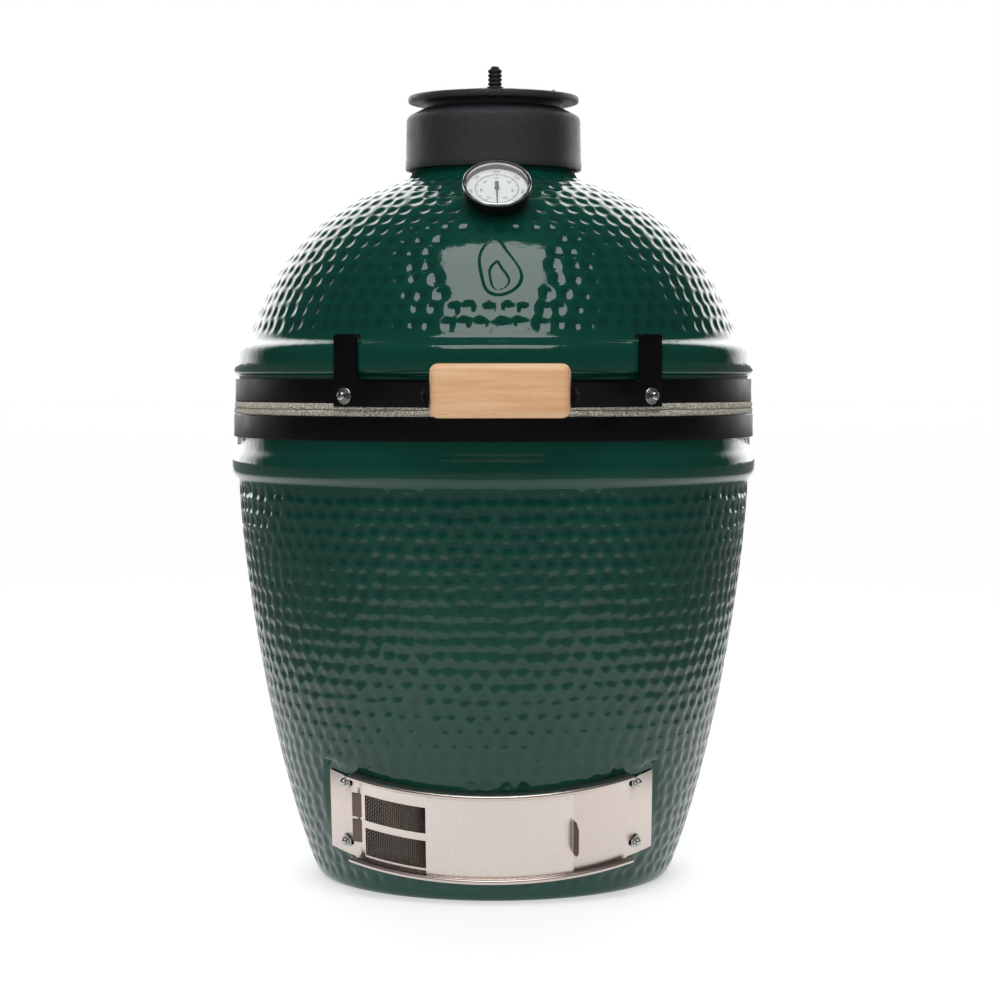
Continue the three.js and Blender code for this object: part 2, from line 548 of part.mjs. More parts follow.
function daisyWheel() {
  const z0 = DISC_TOP_Z + GAP;
  const z1 = z0 + 3.6;
  const wheel = turned([[0, z0], [53, z0], [53, z1 - 1], [52, z1], [0, z1]], 40);
  const lever = union(box([50, -5, z0], [64, 5, z1]), box([61, -5, z0], [64, 5, z1 + 3]));
  return cut(union(wheel, lever), ...petals(90 + 180 / PETALS, z0 - 2, z1 + 2),
      rod(BOLT_R + GAP, z0 - 2, z1 + 2));
}
add("daisy_wheel", daisyWheel(), castIron);
add("daisy_bolt", placed(bolt(BOLT_R, 16.4, 6.5, 2.6, 9), [0, 0, DISC_TOP_Z + 3.6 + 2 * GAP]), castIron);
add("daisy_nut", cut(rod(7, DISC_Z - 4.6, DISC_Z - GAP, 6), rod(BOLT_R + GAP, 780, 820)), zinc);
add("vent_pivot_bolt", placed(bolt(BOLT_R, 22, 6.5, 3, 9), [0, PIVOT_Y, DISC_TOP_Z + GAP]), castIron);

const KNOB_FOOT_Z = DISC_TOP_Z + GAP;
const knobPost = [[0, DISC_Z + 2.2], [3, DISC_Z + 2.2], [3, KNOB_FOOT_Z], [9, KNOB_FOOT_Z],
    [7.5, KNOB_FOOT_Z + 2], [3.2, KNOB_FOOT_Z + 2.4],
  [3.2, 831.6], [4.4, 831.8], [4.4, 833], [2.5, 834], [0, 834]];
add("vent_knob_post", placed(turned(knobPost, 12), [0, KNOB_Y, 0]), castIron);

function knobSleeve() {
  const RIBS = 4;
  const low = KNOB_FOOT_Z + 2.4 + GAP;
  const pitch = (831.3 - low) / RIBS;
  const ribs = [...Array(RIBS).keys()].flatMap((i) =>
      [[5.6, low + pitch * i], [7, low + pitch * (i + 0.3)], [7, low + pitch * (i + 0.65)],
      [5.6, low + pitch * (i + 0.95)]]);
  return turned([[3.2 + GAP, low], ...ribs, [3.2 + GAP, 831.3]], 12);
}
add("vent_knob_sleeve", placed(knobSleeve(), [0, KNOB_Y, 0]), silicone);

// ---- draft door: a curved stainless plate with two rails, and a screen and a solid door that
// slide between them

const PLATE_OUT = DRAFT_R + SHEET;
const SCREEN_R = PLATE_OUT + 0.7;
const DOOR_R = SCREEN_R + SHEET + 4; // the screen's low tab passes under the door
const LIP_IN = DOOR_R + SHEET + 0.7;
const RAIL_HALF = 38.5; // half the rails' length, in degrees
const RAIL = 46.3; // height of the rails' inner faces from the plate's middle

function draftPlate() {
  const plate = arcPlate(DRAFT_R, PLATE_OUT, -47.8, 47.8, -45, 40);
  const back = arcPlate(DRAFT_R, PLATE_OUT, -RAIL_HALF, RAIL_HALF, -RAIL - SHEET, RAIL + SHEET);
  const shelf = (z) => arcPlate(DRAFT_R, LIP_IN + SHEET, -RAIL_HALF, RAIL_HALF, z, z + SHEET);
  const lip = (z0, z1) => arcPlate(LIP_IN, LIP_IN + SHEET, -RAIL_HALF, RAIL_HALF, z0, z1);
  const opening = arcPlate(200, 230, AIR.from, AIR.to, AIR.low, AIR.high);
  const slots = DRAFT_SCREWS.map(([angle, h]) => {
    const inward = angle < 0 ? 1 : -1;
    const ends = [angle, angle + inward * 1.6].map((a) => radial(rod(3, -10, 10, 8), a, DRAFT_R, h));
    return union(...ends, arcPlate(DRAFT_R - 5, DRAFT_R + 5, Math.min(angle, angle + inward * 1.6),
        Math.max(angle, angle + inward * 1.6), h - 3, h + 3));
  });
  const rails = union(shelf(RAIL), shelf(-RAIL - SHEET), lip(RAIL - 3.4, RAIL + SHEET),
      lip(-RAIL - SHEET, -RAIL + 3.4));
  return cut(union(plate, back, rails), opening, ...slots);
}
add("draft_plate", draftPlate(), stainless, draft);

const WINDOWS = [[-38.5, -8.5], [-0.5, 27.5]]; // the screen's two openings
const SCREEN = { from: -36.2, to: 1.3 };

function draftScreen() {
  const sheet = arcPlate(SCREEN_R, SCREEN_R + SHEET, SCREEN.from, SCREEN.to, -RAIL + 1, RAIL - 1);
  const openings = WINDOWS.map(([low, high]) =>
      arcPlate(200, 230, SCREEN.from + 1.6, SCREEN.to - 2, low, high));
  const foot = SCREEN_R + SHEET;
  const point = (r, angle) => [r * Math.sin(deg(angle)), -r * Math.cos(deg(angle))];
  const ramp = outlineShape([point(SCREEN_R, SCREEN.from + 0.5), point(foot, SCREEN.from + 0.5),
      point(foot + 3.2, SCREEN.from - 2), point(foot + 1.9, SCREEN.from - 2.2)]);
  const tabs = [[-26, -1.5], [1.5, 27]].map(([low, high]) => raised(ramp, low, high));
  return cut(union(sheet, ...tabs), ...openings);
}
add("draft_screen", draftScreen(), stainless, draft);
for (const [i, [low, high]] of WINDOWS.entries())
  add(`draft_mesh_${["lower", "upper"][i]}`, arcPlate(SCREEN_R + 0.3, SCREEN_R + 1,
      SCREEN.from + 1.8, SCREEN.to - 2.2, low + GAP, high - GAP), stainless, draft);

const DOOR = { from: -16.4, to: 21.5 };

function draftDoor() {
  const sheet = arcPlate(DOOR_R, DOOR_R + SHEET, DOOR.from, DOOR.to, -RAIL + 1, RAIL - 1);
  const tab = outlineShape([[DOOR_R + 0.5, -22], [DOOR_R + 9, -22], [DOOR_R + 14, -17],
      [DOOR_R + 14, 8], [DOOR_R + 8, 14], [DOOR_R + 0.5, 14]]);
  const upright = placed(raised(tab, 0, SHEET), [0, 0, 0], [90, 0, 0]); // radius along X
  return union(sheet, placed(upright, [0, 0, 0], [0, 0, DOOR.to - 90]));
}
add("draft_door", draftDoor(), stainless, draft);

for (const [i, [angle, h]] of DRAFT_SCREWS.entries()) {
  const screw = union(rod(2.5, -10, 1, 8), rod(6.6, 0, 1.2, 12),
      turned([[0, 1], [5, 1], [4.6, 3.4], [2.4, 4.6], [0, 4.6]], 8));
  const name = ["upper_left", "upper_right", "lower_left", "lower_right"][i];
  add(`draft_screw_${name}`, radial(screw, angle, PLATE_OUT + GAP, h), zinc, draft);
}

export default grill;
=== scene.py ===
import bpy
import math
import random
import numpy as np
from contextlib import contextmanager
from mathutils import Euler, Matrix, Vector, kdtree
from mathutils.geometry import interpolate_bezier


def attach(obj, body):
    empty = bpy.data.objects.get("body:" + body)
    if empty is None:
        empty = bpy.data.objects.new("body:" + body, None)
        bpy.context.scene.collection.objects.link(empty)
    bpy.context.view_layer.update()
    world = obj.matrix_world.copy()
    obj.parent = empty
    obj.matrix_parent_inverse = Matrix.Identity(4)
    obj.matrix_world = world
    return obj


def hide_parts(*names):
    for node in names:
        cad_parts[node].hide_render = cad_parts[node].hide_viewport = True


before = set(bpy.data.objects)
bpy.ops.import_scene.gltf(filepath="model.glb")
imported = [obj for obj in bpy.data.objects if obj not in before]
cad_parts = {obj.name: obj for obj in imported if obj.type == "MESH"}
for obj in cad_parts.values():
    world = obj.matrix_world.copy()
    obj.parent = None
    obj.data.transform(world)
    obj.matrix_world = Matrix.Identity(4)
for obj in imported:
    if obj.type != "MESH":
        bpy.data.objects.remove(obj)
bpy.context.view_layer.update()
MM = 0.001

# ---- Camera and studio
# The grill stands alone on a white floor. The surroundings are bright only behind it, which lights the edges of the
# glaze. A soft box above puts a sheen on the dome, and a second one fills the front without showing in the glaze.
CAMERA_DISTANCE = 2.835
CAMERA_HEIGHT = 0.5244
CAMERA_ROUND = math.radians(1.1)
CAMERA_PITCH = math.radians(2.712)
CAMERA_YAW = math.radians(0.138)
camera = bpy.data.objects.new("camera", bpy.data.cameras.new("camera"))
camera.data.lens = 97.2
camera.data.clip_end = 50
camera.location = (-CAMERA_DISTANCE * math.sin(CAMERA_ROUND), -CAMERA_DISTANCE * math.cos(CAMERA_ROUND),
                   CAMERA_HEIGHT)
camera.rotation_euler = (math.pi / 2 - CAMERA_PITCH, 0, -CAMERA_ROUND - CAMERA_YAW)
bpy.context.scene.collection.objects.link(camera)
bpy.context.scene.camera = camera
bpy.context.scene.view_settings.view_transform = "Standard"


def node(tree, kind, inputs=None, **settings):
    """Adds a shader node, with its settings and with its inputs set to values or linked to sockets."""
    made = tree.nodes.new("ShaderNode" + kind)
    for name, value in settings.items():
        setattr(made, name, value)
    for name, value in (inputs or {}).items():
        if isinstance(value, bpy.types.NodeSocket):
            tree.links.new(value, made.inputs[name])
        else:
            made.inputs[name].default_value = value
    return made


def linear(code):
    """An sRGB hex colour as linear red, green, blue and alpha."""
    parts = [int(code[i:i + 2], 16) / 255 for i in (1, 3, 5)]
    return tuple(c / 12.92 if c <= 0.04045 else ((c + 0.055) / 1.055) ** 2.4 for c in parts) + (1.0,)


def shader(name, **sockets):
    """A new material with constants on its Principled shader's own sockets. Gives the material, its node tree, that
    shader and the Object coordinates."""
    made = bpy.data.materials.new(name)
    made.use_nodes = True
    principled = made.node_tree.nodes["Principled BSDF"]
    for socket, value in sockets.items():
        principled.inputs[socket.replace("_", " ")].default_value = value
    return made, made.node_tree, principled, node(made.node_tree, "TexCoord").outputs["Object"]


def feed(principled, **sources):
    """Links outputs to the sockets of a Principled shader."""
    for socket, output in sources.items():
        principled.id_data.links.new(output, principled.inputs[socket.replace("_", " ")])


world = bpy.data.worlds.new("studio")
world.use_nodes = True
bpy.context.scene.world = world
tree = world.node_tree
tree.nodes.clear()
direction = node(tree, "SeparateXYZ", {"Vector": node(tree, "TexCoord").outputs["Generated"]})
depth = node(tree, "MapRange", {"Value": direction.outputs["Y"], "From Min": 0.5, "From Max": 0.78,
                                "To Min": 0.05, "To Max": 3.2}, interpolation_type="SMOOTHSTEP")
seen = node(tree, "LightPath").outputs["Is Camera Ray"]
level = node(tree, "Mix", {"Factor": seen, "A": depth.outputs[0], "B": 1.0})
background = node(tree, "Background", {"Color": linear("#ffffff"), "Strength": level.outputs[0]})
node(tree, "OutputWorld", {"Surface": background.outputs[0]})


def soft_box(name, place, aim, size, power):
    """A rectangular area light at a place, facing a point."""
    light = bpy.data.lights.new(name, "AREA")
    light.shape = "RECTANGLE"
    light.size, light.size_y = size
    light.energy = power
    made = bpy.data.objects.new(name, light)
    made.location = place
    made.rotation_euler = (Vector(aim) - Vector(place)).to_track_quat("-Z", "Y").to_euler()
    bpy.context.scene.collection.objects.link(made)
    return made


soft_box("box_over_camera", (0, -1.365, 2.66), (0, -0.25, 0.65), (1.75, 1.7), 42)
fill = soft_box("box_fill", (-0.5, -3.4, 1.3), (0, 0, 0.45), (2.0, 1.4), 26)
fill.visible_glossy = False

bpy.ops.object.select_all(action="DESELECT")
bpy.ops.mesh.primitive_plane_add(size=80, location=(0, 0, -0.0005))
floor = bpy.context.active_object
floor.name = "floor"
# White paper with painted light: it glows a little where the camera at rest sees it, and is painted a dull grey shade
# nearer the camera and to the sides, where its light would wash out the glaze.
floor_with_painted_light, tree, principled, place = shader("floor_painted_glow_and_shade", Roughness=0.85, Emission_Color=linear("#ffffff"))
ground = node(tree, "SeparateXYZ", {"Vector": place})
aside = node(tree, "Math", {0: ground.outputs["X"]}, operation="ABSOLUTE")
aside = node(tree, "Math", {0: ground.outputs["Y"], 1: -0.22, 2: aside.outputs[0]}, operation="MULTIPLY_ADD")
ahead = node(tree, "Math", {0: ground.outputs["Y"], 1: -1.0, 2: 0.05}, operation="MULTIPLY_ADD")
edge = node(tree, "Math", {0: aside.outputs[0], 1: ahead.outputs[0]}, operation="MAXIMUM")
painted_glow = node(tree, "MapRange", {"Value": edge.outputs[0], "From Min": 0.65, "From Max": 1.0,
                              "To Min": 0.55, "To Max": 0.02}, interpolation_type="SMOOTHSTEP")
# Painted light: the floor glows though it is no lamp, and is painted grey where the glow fades.
feed(principled, Emission_Strength=painted_glow.outputs[0])
paint = node(tree, "Mix", {"Factor": painted_glow.outputs[0], "A": linear("#8f8f8d"), "B": linear("#ffffff")},
             data_type="RGBA")
feed(principled, Base_Color=paint.outputs["Result"])
floor.data.materials.append(floor_with_painted_light)


# ---- Ceramic base
# A thick bowl, cast in one piece and fired, glazed outside and raw inside. A bead stands out under the seat of its
# band, and shallow round dimples cover the wall below. The draft plate's seat is ground smooth low on the front.
def only(obj):
    """Makes obj the only selected object, and the active one."""
    bpy.ops.object.select_all(action="DESELECT")
    obj.select_set(True)
    bpy.context.view_layer.objects.active = obj


@contextmanager
def editing(obj):
    """Edit mode on obj, with everything selected."""
    only(obj)
    bpy.ops.object.mode_set(mode="EDIT")
    bpy.ops.mesh.select_all(action="SELECT")
    yield
    bpy.ops.object.mode_set(mode="OBJECT")


@contextmanager
def editing_some(obj, kind, elements, chosen):
    """Edit mode on obj, in a select mode, with only the chosen of its edges or polygons selected."""
    with editing(obj):
        bpy.ops.mesh.select_all(action="DESELECT")
    getattr(obj.data, elements).foreach_set("select", chosen)
    bpy.ops.object.mode_set(mode="EDIT")
    bpy.ops.mesh.select_mode(type=kind)
    yield
    bpy.ops.mesh.select_mode(type="VERT")
    bpy.ops.object.mode_set(mode="OBJECT")


def modified(obj, kind, **settings):
    """Adds one modifier with its settings, and applies it."""
    only(obj)
    modifier = obj.modifiers.new(kind.lower(), kind)
    for name, value in settings.items():
        setattr(modifier, name, value)
    bpy.ops.object.modifier_apply(modifier=modifier.name)
    return obj


def added(name, operator, **settings):
    """Adds a primitive with nothing else selected, and names it."""
    bpy.ops.object.select_all(action="DESELECT")
    operator(**settings)
    obj = bpy.context.active_object
    obj.name = name
    return obj


def rounded(obj, width, angle=math.radians(50), segments=2):
    """Rounds the edges of obj that turn by more than an angle, by a width in mm."""
    return modified(obj, "BEVEL", width=width * MM, segments=segments, limit_method="ANGLE", angle_limit=angle)


def drawn(name, points, closed=False):
    """Draws a line through points in mm, one extruded corner at a time. A closed one is filled."""
    obj = added(name, bpy.ops.mesh.primitive_plane_add, size=0.01)
    with editing(obj):
        bpy.ops.mesh.merge(type="CENTER")
        bpy.ops.transform.translate(value=Vector(points[0]) * MM)
        for a, b in zip(points, points[1:]):
            bpy.ops.mesh.extrude_region_move(TRANSFORM_OT_translate={"value": (Vector(b) - Vector(a)) * MM})
        if closed:
            bpy.ops.mesh.select_all(action="SELECT")
            bpy.ops.mesh.edge_face_add()
    return obj


def turned(name, outline, steps, sweep=360.0, start=0.0):
    """Spins an outline of (radius, height) in mm about the upright axis. One that starts off the axis is closed
    first, and less than a full turn gets its ends capped."""
    at = math.radians(start)
    closing = outline[:1] if outline[0][0] else []
    obj = drawn(name, [(r * math.cos(at), r * math.sin(at), z) for r, z in outline + closing])
    with editing(obj):
        bpy.ops.mesh.spin(steps=steps, angle=-math.radians(sweep), center=(0, 0, 0), axis=(0, 0, 1))
        bpy.ops.mesh.select_all(action="SELECT")
        bpy.ops.mesh.remove_doubles(threshold=1e-5)
        if sweep < 360:
            bpy.ops.mesh.select_all(action="DESELECT")
            bpy.ops.mesh.select_non_manifold()
            bpy.ops.mesh.edge_face_add()
            bpy.ops.mesh.select_all(action="SELECT")
        bpy.ops.mesh.normals_make_consistent(inside=False)
    return obj


def bend(*corners, count=6):
    """Points of (radius, height) along a Bezier curve, without its first point."""
    a, b, c, d = (Vector((x, y, 0)) for x, y in corners)
    return [(p.x, p.y) for p in interpolate_bezier(a, b, c, d, count + 1)[1:]]


def placed(obj, place=(0, 0, 0), turn=(0, 0, 0)):
    """Turns the mesh by degrees about X, then Y, then Z, moves it by mm, and leaves the object at the origin."""
    angles = Euler([math.radians(a) for a in turn], "XYZ")
    obj.data.transform(Matrix.Translation(Vector(place) * MM) @ angles.to_matrix().to_4x4())
    obj.data.update()
    return obj


def piece(obj, material, body, *nodes, slot=None, smooth=30):
    """Gives a finished piece its material, or leaves its own, and names the body it rides on and the CAD nodes it
    stands for."""
    only(obj)
    bpy.ops.object.transform_apply(location=True, rotation=True, scale=True)
    if material:
        obj.data.materials.clear()
        obj.data.materials.append(material)
    bpy.ops.object.shade_smooth_by_angle(angle=math.radians(smooth))
    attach(obj, body)
    if nodes:
        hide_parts(*nodes)
    return obj


def positions(obj):
    """The vertices of obj as an array, in mm."""
    flat = np.empty(len(obj.data.vertices) * 3)
    obj.data.vertices.foreach_get("co", flat)
    return flat.reshape(-1, 3) / MM


def move_to(obj, points):
    """Puts the vertices of obj at points in mm."""
    obj.data.vertices.foreach_set("co", (points * MM).ravel())
    obj.data.update()


DIMPLE_PITCH = 17.4
DIMPLE_R = 7.9
DIMPLE_DEPTH = 1.6


def dimpled(obj, wall, seed, keep_out=lambda p: False):
    """Presses rows of dimples into a turned wall, given as (radius, height) points from one end to the other.
    keep_out says where a dimple is left out. How deep each point was pressed is kept for the glaze."""
    draw = random.Random(seed)
    lengths = np.concatenate([[0], np.cumsum(np.hypot(*np.diff(np.array(wall), axis=0).T))])
    rows = round(lengths[-1] / (DIMPLE_PITCH * 0.88))
    centres = []
    for row in range(rows):
        along = lengths[-1] * (row + 0.6) / (rows + 0.2)
        r, z = (np.interp(along, lengths, np.array(wall)[:, k]) for k in (0, 1))
        count = round(2 * math.pi * r / DIMPLE_PITCH)
        phase = draw.random()
        for i in range(count):
            angle = 2 * math.pi * (i + phase + draw.uniform(-0.14, 0.14)) / count
            point = Vector((r * math.cos(angle), r * math.sin(angle), z + draw.uniform(-1.7, 1.7)))
            if not keep_out(point):
                centres.append((point, draw.uniform(0.86, 1.08)))
    tree = kdtree.KDTree(len(centres))
    for i, (point, size) in enumerate(centres):
        tree.insert(point, i)
    tree.balance()
    points = positions(obj)
    normals = np.empty(len(points) * 3)
    obj.data.vertices.foreach_get("normal", normals)
    normals = normals.reshape(-1, 3)
    low, high = min(z for r, z in wall), max(z for r, z in wall)
    radii = np.hypot(points[:, 0], points[:, 1])
    wall_r = np.interp(points[:, 2], *zip(*sorted((z, r) for r, z in wall)))
    outside = (points[:, 2] > low - 4) & (points[:, 2] < high + 4) & (np.abs(radii - wall_r) < 5)
    pressed = np.zeros(len(points))
    for i in np.flatnonzero(outside):
        near, index, distance = tree.find(points[i])
        reach = DIMPLE_R * centres[index][1]
        if distance < reach:
            pressed[i] = (1 - (distance / reach) ** 2) ** 1.05
    move_to(obj, points - normals * (pressed * DIMPLE_DEPTH)[:, None])
    attribute = obj.data.attributes.new("pressed", "FLOAT", "POINT")
    attribute.data.foreach_set("value", pressed)
    return obj


# Glossy stoneware glaze: it pools deeper and darker in the dimples, and thins to a lighter green on the land.
def glaze(name, land, pool):
    material, tree, principled, place = shader(name, Roughness=0.08, IOR=1.46)
    cloud = node(tree, "TexNoise", {"Vector": place, "Scale": 9.0, "Detail": 3.0})
    depth = node(tree, "Attribute", attribute_name="pressed").outputs["Fac"]
    spread = node(tree, "MapRange", {"Value": cloud.outputs["Fac"], "From Min": 0.35, "From Max": 0.65,
                                     "To Min": -0.22, "To Max": 0.22})
    thick = node(tree, "Math", {0: depth, 1: spread.outputs[0]}, operation="ADD", use_clamp=True)
    green = node(tree, "Mix", {"Factor": thick.outputs[0], "A": linear(land), "B": linear(pool)}, data_type="RGBA")
    feed(principled, Base_Color=green.outputs["Result"])
    ripple = node(tree, "TexNoise", {"Vector": place, "Scale": 60.0, "Detail": 2.0})  # 15 mm waves in the glaze
    pits = node(tree, "TexNoise", {"Vector": place, "Scale": 450.0, "Detail": 2.0})  # 2 mm orange peel
    height = node(tree, "Math", {0: pits.outputs["Fac"], 1: 0.12, 2: ripple.outputs["Fac"]}, operation="MULTIPLY_ADD")
    bump = node(tree, "Bump", {"Strength": 0.35, "Distance": 0.0009, "Height": height.outputs[0]})
    feed(principled, Normal=bump.outputs[0])
    return material


deep_green_glaze = glaze("deep_green_glaze", "#0e4438", "#0b3a32")


def grained(name, dark, light, spread, bump, **sockets):
    """A raw surface of 1.5 mm grains, between two tones and with a bump of (strength, metres)."""
    material, tree, principled, place = shader(name, **sockets)
    grain = node(tree, "TexNoise", {"Vector": place, "Scale": 700.0, "Detail": 4.0})
    tone = node(tree, "ValToRGB", {"Fac": grain.outputs["Fac"]})
    for element, position, code in zip(tone.color_ramp.elements, spread, (dark, light)):
        element.position = position
        element.color = linear(code)
    rough = node(tree, "Bump", {"Strength": bump[0], "Distance": bump[1], "Height": grain.outputs["Fac"]})
    feed(principled, Base_Color=tone.outputs["Color"], Normal=rough.outputs[0])
    return material


# Unglazed refractory: dull, sandy, with a few iron specks.
refractory = grained("refractory_ceramic", "#8d7759", "#c9b492", (0.3, 0.7), (0.6, 0.0006), Roughness=0.9)


RAW_R = 247


def raw_inside(obj, middle):
    """Leaves the faces within RAW_R that look towards a point at a height on the axis unglazed."""
    obj.data.materials.clear()
    obj.data.materials.append(deep_green_glaze)
    obj.data.materials.append(refractory)
    count = len(obj.data.polygons)
    centres, normals = np.empty(count * 3), np.empty(count * 3)
    obj.data.polygons.foreach_get("center", centres)
    obj.data.polygons.foreach_get("normal", normals)
    outward = centres.reshape(-1, 3) / MM - [0, 0, middle]
    towards = (outward * normals.reshape(-1, 3)).sum(axis=1) < 0
    inside = towards & (np.hypot(outward[:, 0], outward[:, 1]) < RAW_R)
    obj.data.polygons.foreach_set("material_index", inside.astype(int))
    return obj


base_wall = [(187.5, 11)] + bend((187.5, 11), (232.7, 123.1), (263.3, 327.5), (266, 412), count=126)
base_outline = [(0, 0), (90, 0), (172, 0), (178, 0.2)]
base_outline += bend((178, 0.2), (182, 0.4), (185.5, 6), (187.5, 11), count=4)
base_outline += base_wall[1:]
base_outline += bend((266, 412), (266.2, 416.5), (272.6, 418), (273, 424), count=6) + [(273.2, 428), (273.2, 433)]
base_outline += bend((273.2, 433), (273.2, 442), (268, 443), (268, 450), count=7)
base_outline += [(268, 465), (268, 480.5), (267.2, 482.7), (265, 483.5), (254, 483.5), (243, 483.5), (240.8, 482.7),
                 (240, 480.5), (240, 432), (246, 405)]
base_outline += bend((246, 405), (243, 300), (213, 112), (178, 46), count=8)
base_outline += [(172, 33), (156, 25), (70, 25), (0, 25)]
ceramic_base = turned("ceramic_base", base_outline, 520)

DRAFT_TILT = 16.6
DRAFT_TURN = -2
DRAFT_R = 216.3
DRAFT_AXIS_Z = 70 + DRAFT_R * math.sin(math.radians(DRAFT_TILT))
draft_place = Matrix.Translation((0, 0, DRAFT_AXIS_Z)) @ Matrix.Rotation(math.radians(DRAFT_TURN), 4, "Z")
draft_place = draft_place @ Matrix.Rotation(math.radians(DRAFT_TILT), 4, "X")


def in_draft(points):
    """Points in mm as angle from the front in degrees, height along the doors' tilted axis, and radius from it."""
    local = (np.c_[points, np.ones(len(points))] @ np.array(draft_place.inverted()).T)[:, :3]
    return np.degrees(np.arctan2(local[:, 0], -local[:, 1])), local[:, 2], np.hypot(local[:, 0], local[:, 1]), local


def near_plate(point):
    """True under the draft plate and close to its edge."""
    angle, height, radius, local = in_draft(np.array([point]))
    return abs(angle[0]) < 50 and abs(height[0]) < 51


dimpled(ceramic_base, base_wall, seed=4, keep_out=near_plate)

# The seat: everything in front of the plate's back is taken down to it.
SEAT_R = DRAFT_R - 0.6
points = positions(ceramic_base)
angle, height, radius, local = in_draft(points)
over = (np.abs(angle) < 49.5) & (height > -52) & (height < 50) & (radius > SEAT_R) & (local[:, 1] < 0)
flat = np.where(over, SEAT_R / np.maximum(radius, 1), 1)
local[:, 0] *= flat
local[:, 1] *= flat
move_to(ceramic_base, (np.c_[local, np.ones(len(local))] @ np.array(draft_place).T)[:, :3])


def block(name, low, high):
    """A box from one corner in mm to the other."""
    middle = [(a + b) / 2 * MM for a, b in zip(low, high)]
    obj = added(name, bpy.ops.mesh.primitive_cube_add, size=1, location=middle)
    obj.scale = [(b - a) * MM for a, b in zip(low, high)]
    bpy.ops.object.transform_apply(location=True, rotation=True, scale=True)
    return obj


def combined(obj, *tools, operation="DIFFERENCE"):
    """Takes the tools away from obj, or does another boolean operation with them, and deletes them."""
    for tool in tools:
        modified(obj, "BOOLEAN", operation=operation, object=tool, solver="EXACT")
        bpy.data.objects.remove(tool)
    return obj


def tilted(obj, unit=1.0):
    """Moves a mesh from the doors' own frame, where one unit is so many metres, to the grill's."""
    obj.data.transform(Matrix.Scale(MM, 4) @ draft_place @ Matrix.Scale(unit / MM, 4))
    obj.data.update()
    return obj


AIR_SWEEP = 35.8
air_way = turned("air_way", [(150, -40.5), (236, -40.5), (236, 29.5), (150, 29.5)], 36, sweep=AIR_SWEEP,
                 start=-90 - AIR_SWEEP)
combined(ceramic_base, tilted(air_way))
piece(raw_inside(ceramic_base, 300), None, "base", "base_shell", slot="glazed_ceramic", smooth=50)

# ---- Firebox, fire ring, charcoal grate and cooking grid
# Loose parts that stand in the base: two rings of unglazed refractory, a drilled cast iron plate, and a grid of
# stainless rods welded into a hoop.
def rod(name, radius, low, high, sides=24, place=(0, 0, 0), turn=(0, 0, 0)):
    """A round or sided bar along Z from low to high in mm, turned and then moved."""
    obj = added(name, bpy.ops.mesh.primitive_cylinder_add, vertices=sides, radius=radius * MM,
                depth=(high - low) * MM, location=(0, 0, (low + high) / 2 * MM))
    bpy.ops.object.transform_apply(location=True, rotation=True, scale=True)
    return placed(obj, place, turn)


def joined(name, *objs):
    """Makes one piece of several."""
    bpy.ops.object.select_all(action="DESELECT")
    for obj in objs:
        obj.select_set(True)
    bpy.context.view_layer.objects.active = objs[0]
    if len(objs) > 1:
        bpy.ops.object.join()
    objs[0].name = name
    return objs[0]


def copied(obj, name, place=(0, 0, 0), turn=(0, 0, 0)):
    """A copy of obj with its own mesh, turned and then moved."""
    made = obj.copy()
    made.data = obj.data.copy()
    made.name = name
    bpy.context.scene.collection.objects.link(made)
    return placed(made, place, turn)


def around(r, degrees, z=0):
    """The point at a radius, at degrees about the upright axis and at a height, in mm."""
    return r * math.cos(math.radians(degrees)), r * math.sin(math.radians(degrees)), z


firebox_outline = [(142, 25.3), (143, 29), (174, 90), (203, 200), (211, 297), (209, 300), (198, 300), (196, 297),
                   (187, 220), (167, 150), (145, 104), (122, 104), (122, 25.3)]
firebox = turned("firebox", firebox_outline, 96)
holes = [rod("hole", 10, -100, 100, place=around(180, 22.5 + 45 * i, 190), turn=(0, 90, 22.5 + 45 * i))
         for i in range(8)]
ash_door = turned("ash_door", [(100, 20), (240, 20), (240, 98), (100, 98)], 20, sweep=41, start=-127)
combined(firebox, *holes, ash_door)
piece(rounded(firebox, 2, angle=0.7), refractory, "base", "firebox", slot="refractory_ceramic")
fire_ring = turned("fire_ring", [(221, 300.3), (234, 444), (234, 450), (232, 452), (220, 452), (218, 450), (204, 302),
                                 (205, 300.3)], 128)
piece(fire_ring, refractory, "base", "fire_ring", slot="refractory_ceramic")

# Cast iron, blacked: dark grey, with the grain of the sand mould showing through a thin coat.
cast_iron, tree, principled, place = shader("cast_iron", Roughness=0.5, Specular_IOR_Level=0.3)
mould = node(tree, "TexNoise", {"Vector": place, "Scale": 650.0, "Detail": 3.0, "Roughness": 0.6})  # 1.5 mm sand
worn = node(tree, "TexNoise", {"Vector": place, "Scale": 40.0, "Detail": 4.0})
rough = node(tree, "MapRange", {"Value": worn.outputs["Fac"], "From Min": 0.3, "From Max": 0.7,
                                "To Min": 0.34, "To Max": 0.48})
feed(principled, Roughness=rough.outputs[0])
shade = node(tree, "Mix", {"Factor": mould.outputs["Fac"], "A": linear("#17191b"), "B": linear("#43464a")},
             data_type="RGBA")
feed(principled, Base_Color=shade.outputs["Result"])
bump = node(tree, "Bump", {"Strength": 1.0, "Distance": 0.0012, "Height": mould.outputs["Fac"]})
feed(principled, Normal=bump.outputs[0])


grate = rod("charcoal_grate", 130, 104.3, 114, sides=96)
punch = rod("punch", 9, 100, 118)
punches = [copied(punch, "punch", around(r, 360 * i / n)) for n, r in ((6, 38), (12, 72), (18, 106))
           for i in range(n)]
combined(grate, joined("punches", punch, *punches))
piece(rounded(grate, 1.2, angle=0.7), cast_iron, "base", "charcoal_grate", slot="cast_iron")

